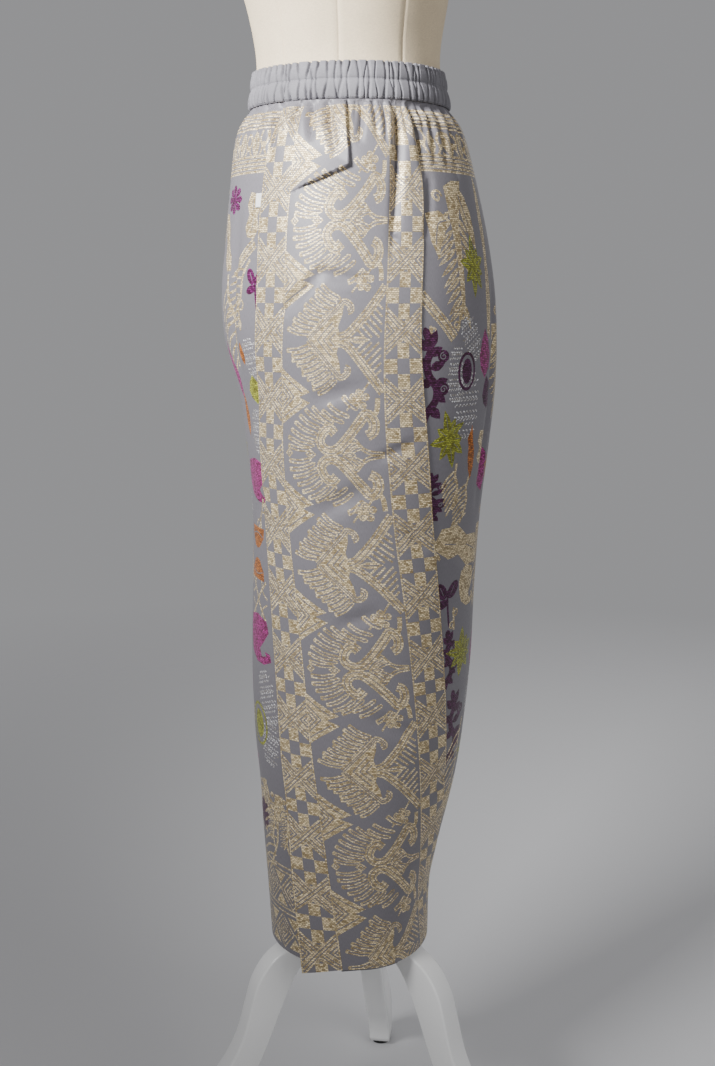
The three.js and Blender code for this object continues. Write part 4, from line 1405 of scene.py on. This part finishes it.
def stitch_group():
    """Geometry Nodes that lay arched stitches along the edge paths they are given."""
    tree = bpy.data.node_groups.new("running_stitch", "GeometryNodeTree")
    face = tree.interface
    face.new_socket("Geometry", in_out="INPUT", socket_type="NodeSocketGeometry")
    for label in STITCH_SIZES:
        face.new_socket(label, in_out="INPUT", socket_type="NodeSocketFloat")
    face.new_socket("Axis", in_out="INPUT", socket_type="NodeSocketVector")
    face.new_socket("Seed", in_out="INPUT", socket_type="NodeSocketInt")
    face.new_socket("Thread", in_out="INPUT", socket_type="NodeSocketMaterial")
    face.new_socket("Geometry", in_out="OUTPUT", socket_type="NodeSocketGeometry")
    given = wire(tree, "NodeGroupInput").outputs
    path = wire(tree, "GeometryNodeMeshToCurve", {0: given["Geometry"]})
    spacing = {"Curve": path.outputs[0], "Length": given["Pitch"]}
    rows = wire(tree, "GeometryNodeCurveToPoints", spacing, mode="LENGTH")
    back = wire(tree, "Math", {0: given["Length"], 1: -0.5}, operation="MULTIPLY")
    ahead = wire(tree, "Math", {0: given["Length"], 1: 0.5}, operation="MULTIPLY")
    under = wire(tree, "Math", {0: given["Rise"], 1: -1.0}, operation="MULTIPLY")
    over = wire(tree, "Math", {0: given["Rise"], 1: 2.0}, operation="MULTIPLY")
    start = wire(tree, "CombineXYZ", {"X": under.outputs[0], "Z": back.outputs[0]})
    top = wire(tree, "CombineXYZ", {"X": over.outputs[0]})
    end = wire(tree, "CombineXYZ", {"X": under.outputs[0], "Z": ahead.outputs[0]})
    bends = {"Resolution": 5, "Start": start.outputs[0], "Middle": top.outputs[0], "End": end.outputs[0]}
    arch = wire(tree, "GeometryNodeCurveQuadraticBezier", bends)
    ring = wire(tree, "GeometryNodeCurvePrimitiveCircle", {"Resolution": 6, "Radius": given["Radius"]})
    around = {"Curve": arch.outputs[0], "Profile Curve": ring.outputs[0], "Fill Caps": True}
    thread = wire(tree, "GeometryNodeCurveToMesh", around)
    here = wire(tree, "GeometryNodeInputPosition")
    off_axis = wire(tree, "VectorMath", {0: here.outputs[0], 1: given["Axis"]}, operation="SUBTRACT")
    outward = wire(tree, "VectorMath", {0: off_axis.outputs[0], 1: (1, 1, 0)}, operation="MULTIPLY")
    along = wire(tree, "FunctionNodeAlignRotationToVector", {"Vector": rows.outputs["Tangent"]}, axis="Z")
    facing = {"Rotation": along.outputs[0], "Vector": outward.outputs[0]}
    turn = wire(tree, "FunctionNodeAlignRotationToVector", facing, axis="X", pivot_axis="Z")
    shortest_to_longest = {2: 0.85, 3: 1.1, "Seed": given["Seed"]}
    uneven = wire(tree, "FunctionNodeRandomValue", shortest_to_longest, data_type="FLOAT")
    each = {"Points": rows.outputs[0], "Instance": thread.outputs[0], "Rotation": turn.outputs[0]}
    each["Scale"] = uneven.outputs[1]
    laid = wire(tree, "GeometryNodeInstanceOnPoints", each)
    real = wire(tree, "GeometryNodeRealizeInstances", {0: laid.outputs[0]})
    dress = {"Geometry": real.outputs[0], "Material": given["Thread"]}
    dressed = wire(tree, "GeometryNodeSetMaterial", dress)
    wire(tree, "NodeGroupOutput", {0: dressed.outputs[0]})
    return tree


paths = bpy.data.meshes.new("stitch_paths")
corners, edges = [], []
for height in STITCH_ROWS:
    row = round((height - BAND_BOTTOM) / (BAND_TOP - BAND_BOTTOM) * (BAND_ROWS - 1))
    start = len(corners)
    corners += [tuple(p) for p in outer[row]]
    edges += [(start + i, start + (i + 1) % BAND_COLUMNS) for i in range(BAND_COLUMNS)]
paths.from_pydata(corners, edges, [])
guide = bpy.data.objects.new("stitch_guide", paths)
bpy.context.scene.collection.objects.link(guide)
sewing = guide.modifiers.new("sewing", "NODES")
sewing.node_group = stitch_group()
lilac_thread = plain_weave("lilac_thread", (0.27, 0.26, 0.29), grain=2.5)
values = {**STITCH_SIZES, "Seed": STITCH_SEED, "Axis": (AXIS_X, AXIS_Y, 0), "Thread": lilac_thread}
for socket in sewing.node_group.interface.items_tree:
    if socket.name in values:
        sewing[socket.identifier] = values[socket.name]
evaluated = guide.evaluated_get(bpy.context.evaluated_depsgraph_get())
sewn = bpy.data.meshes.new_from_object(evaluated)
sewn.name = "waistband_stitches"
sewn.materials.clear()
sewn.materials.append(lilac_thread)
sewn.polygons.foreach_set("material_index", [0] * len(sewn.polygons))
stitches = bpy.data.objects.new("waistband_stitches", sewn)
bpy.context.scene.collection.objects.link(stitches)
bpy.data.objects.remove(guide)
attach(stitches, "root")

# Form torso
# A limbless padded shell under a close cover of unbleached linen. The cover is sewn from shaped panels,
# whose seams run up it and are drawn in a little.
TORSO_COLUMNS = 160
TORSO_ROWS = 150
# The seams' angles, how deep each is drawn in, and how far to either side, in degrees. Each has columns of
# its own, and other columns keep clear of them.
TORSO_SEAMS = [-44, -10, 31, 90, 149, -170, -136, -90]
SEAM_DEPTH = 1.0
SEAM_HALF_WIDTH = 0.9
SEAM_COLUMNS = (-1.0, -0.45, 0, 0.45, 1.0)
CLEAR_OF_SEAM = 0.8
linen = plain_weave("linen", (0.70, 0.575, 0.395), grain=1.1, soft_marks=0.05)


def closed_skin(name, rings, material):
    """A skin over rings of points, closed by a flat face at both ends."""
    rows, columns = rings.shape[:2]
    number = np.arange(rows * columns).reshape(rows, columns)
    ahead = np.roll(number, -1, axis=1)
    faces = [tuple(number[0, ::-1]), tuple(number[-1])]
    for r in range(rows - 1):
        faces += [(number[r, c], ahead[r, c], ahead[r + 1, c], number[r + 1, c]) for c in range(columns)]
    return mesh_piece(name, rings.reshape(-1, 3), faces, material)


seam_columns = [seam + beside for seam in TORSO_SEAMS for beside in SEAM_COLUMNS]
even = np.linspace(-180, 180, TORSO_COLUMNS, endpoint=False)
even = [a for a in even if min(abs(a - column) for column in seam_columns) > CLEAR_OF_SEAM]
angles = np.array(sorted([*even, *seam_columns]))
across, heights = np.meshgrid(angles, np.linspace(FORM_OUTLINE[0][0], FORM_OUTLINE[-1][0], TORSO_ROWS))
groove = np.zeros_like(across)
for seam in TORSO_SEAMS:
    away = np.abs(across - seam)
    groove = np.maximum(groove, SEAM_DEPTH * np.maximum(1 - away / SEAM_HALF_WIDTH, 0))
torso = closed_skin("form_torso_linen", form_point(across, heights, -groove), linen)
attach(torso, "root")
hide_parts("form_torso")

# Neck cap, pole and hub
# A turned wooden finial, painted white, closes the form's neck. A steel tube, painted too, carries the form
# and stands in a turned wooden hub that the legs are fixed to.
NECK_TOP = FORM_OUTLINE[-1][0]
FORM_FOOT = FORM_OUTLINE[0][0]
HUB_TOP = 366
POLE_RADIUS = 16
# Profiles: radius, height; the cap's heights are from the neck's top
CAP_PROFILE = [
    (0, 0),
    (50, 0),
    (53, 3),
    (51, 8),
    (30, 13),
    (9, 15),
    (8, 21),
    (14, 29),
    (13, 38),
    (6, 44),
    (0, 45),
]
HUB_PROFILE = [(0, 268), (20, 268), (32, 276), (32, 358), (22, HUB_TOP), (0, HUB_TOP)]


def painted(name, colour, roughness):
    """Sprayed paint, with a faint orange-peel surface."""
    material, tree, shader = new_material(name)
    place = wire(tree, "TexCoord")
    peel = wire(tree, "TexNoise", {"Vector": place.outputs["Object"], "Scale": 260.0, "Detail": 1.0})
    dust = wire(tree, "TexNoise", {"Vector": place.outputs["Object"], "Scale": 9.0, "Detail": 2.0})
    shade = ranged(tree, dust.outputs[0], (0.3, 0.7), (0.95, 1.02))
    tinted = wire(tree, "VectorMath", {0: colour, "Scale": shade}, operation="SCALE")
    tree.links.new(tinted.outputs[0], shader.inputs["Base Color"])
    bump = wire(tree, "Bump", {"Height": peel.outputs[0], "Strength": 0.12, "Distance": 0.0003})
    tree.links.new(bump.outputs[0], shader.inputs["Normal"])
    shader.inputs["Roughness"].default_value = roughness
    return material


white_paint = painted("white_paint", (0.90, 0.90, 0.89), 0.22)
white_steel = painted("white_steel", (0.86, 0.86, 0.86), 0.3)


def softened(profile, ease, steps=4):
    """A profile with each inner corner rounded off."""
    profile = [np.array(p, float) for p in profile]
    out = [profile[0]]
    for before, corner, after in zip(profile, profile[1:], profile[2:]):
        start = corner + (before - corner) * min(ease / max(math.dist(before, corner), 1e-6), 0.45)
        end = corner + (after - corner) * min(ease / max(math.dist(after, corner), 1e-6), 0.45)
        for t in np.linspace(0, 1, steps):
            out.append(start * (1 - t) ** 2 + 2 * corner * t * (1 - t) + end * t**2)
    return [*out, profile[-1]]


PIN_HOLE = 0.3


def turned(name, profile, ease, material, middle=(0, 0), sides=72):
    """Turns a profile about an upright line, its ends closed over a point too small to see."""
    around = np.linspace(0, math.tau, sides, endpoint=False)
    rings = []
    for radius, z in softened(profile, ease):
        radius = max(radius, PIN_HOLE)
        x, y = middle[0] + radius * np.cos(around), middle[1] + radius * np.sin(around)
        rings.append(on_axis(x, y, np.full(sides, z)))
    made = closed_skin(name, np.array(rings), material)
    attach(made, "root")
    return made


neck_cap = turned("neck_finial", [(r, NECK_TOP + JOIN_GAP + z) for r, z in CAP_PROFILE], 2, white_paint)
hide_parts("neck_cap")
hub = turned("turned_hub", HUB_PROFILE, 2.5, white_paint)
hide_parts("stand_hub")
pole_foot, pole_top = HUB_TOP + JOIN_GAP, FORM_FOOT - JOIN_GAP
pole_profile = [(0, pole_foot), (POLE_RADIUS, pole_foot), (POLE_RADIUS, pole_top), (0, pole_top)]
pole = turned("steel_pole", pole_profile, 1, white_steel)
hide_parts("form_pole")

# Legs and feet
# Three legs sawn from thick board to one S curve, their edges eased, painted white and fixed to the hub. A
# black rubber pad is under each.
LEGS = (("left", -68.6), ("right", 51.4), ("rear", 171.4))
# The curve's outer and inner edges: distance from the axis, height
LEG_OUTER = [
    (32.4, 353),
    (56, 338),
    (70, 318),
    (77, 302),
    (82, 289),
    (90, 281.5),
    (100, 277),
    (110, 270),
    (120, 259),
    (131, 240),
    (139, 212),
    (149, 178),
    (161, 154),
    (177, 132),
    (200, 106),
    (222, 76),
    (236, 42),
    (241, 8),
]
LEG_INNER = [
    (32.4, 284),
    (62, 270),
    (79, 252),
    (91, 230),
    (102, 204),
    (113, 176),
    (128, 142),
    (145, 112),
    (168, 76),
    (188, 48),
    (199, 26),
    (203, 8),
]
# Half the board's thickness, how far its edges are eased, and how many sections it has
LEG_HALF = 14
LEG_EASE = 3
LEG_STEPS = 64
FOOT_DISTANCE = 222
FOOT_RADIUS = 13
FOOT_TOP = LEG_OUTER[-1][1] - JOIN_GAP
FOOT_PROFILE = [(0, 0), (FOOT_RADIUS, 0), (FOOT_RADIUS, FOOT_TOP), (0, FOOT_TOP)]


def even_steps(path, steps):
    """Points at even distances along a smooth curve."""
    fine = np.array(curved(path, 16))
    far = np.concatenate([[0], np.cumsum(np.linalg.norm(np.diff(fine, axis=0), axis=1))])
    at = np.linspace(0, far[-1], steps)
    return np.stack([np.interp(at, far, fine[:, 0]), np.interp(at, far, fine[:, 1])], axis=1)


rubber, tree, shader = new_material("black_rubber")
place = wire(tree, "TexCoord")
grain = wire(tree, "TexNoise", {"Vector": place.outputs["Object"], "Scale": 700.0})
tree.links.new(ranged(tree, grain.outputs[0], (0, 1), (0.012, 0.03)), shader.inputs["Base Color"])
shader.inputs["Roughness"].default_value = 0.75


def leg_section(outside, inside):
    """A board's section between its two edges, with its corners eased: distance, height, half thickness."""
    board = math.dist(outside, inside)
    section = []
    for corner, (share, half) in enumerate(((0, 1), (1, 1), (1, -1), (0, -1))):
        for t in np.linspace(0, 1, 5):
            turn = math.pi / 2 * t
            from_edge = LEG_EASE * (1 - (math.sin(turn) if corner % 2 else math.cos(turn))) / board
            from_face = LEG_EASE * (1 - (math.cos(turn) if corner % 2 else math.sin(turn)))
            across_board = share + (1 - 2 * share) * from_edge
            section.append((*(outside + (inside - outside) * across_board), half * (LEG_HALF - from_face)))
    return section


edges_up = list(zip(even_steps(LEG_OUTER, LEG_STEPS), even_steps(LEG_INNER, LEG_STEPS)))
for side, degrees in LEGS:
    sine, cosine = math.sin(math.radians(degrees)), math.cos(math.radians(degrees))
    rings = []
    for outside, inside in edges_up:
        far, z, half = np.array(leg_section(outside, inside)).T
        rings.append(on_axis(far * sine + half * cosine, -far * cosine + half * sine, z))
    leg = closed_skin(f"painted_leg_{side}", np.array(rings)[:, ::-1], white_paint)
    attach(leg, "root")
    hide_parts(f"leg_{side}")
    foot_at = (FOOT_DISTANCE * sine, -FOOT_DISTANCE * cosine)
    foot = turned(f"rubber_foot_{side}", FOOT_PROFILE, 1, rubber, foot_at, sides=40)
    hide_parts(f"foot_{side}")
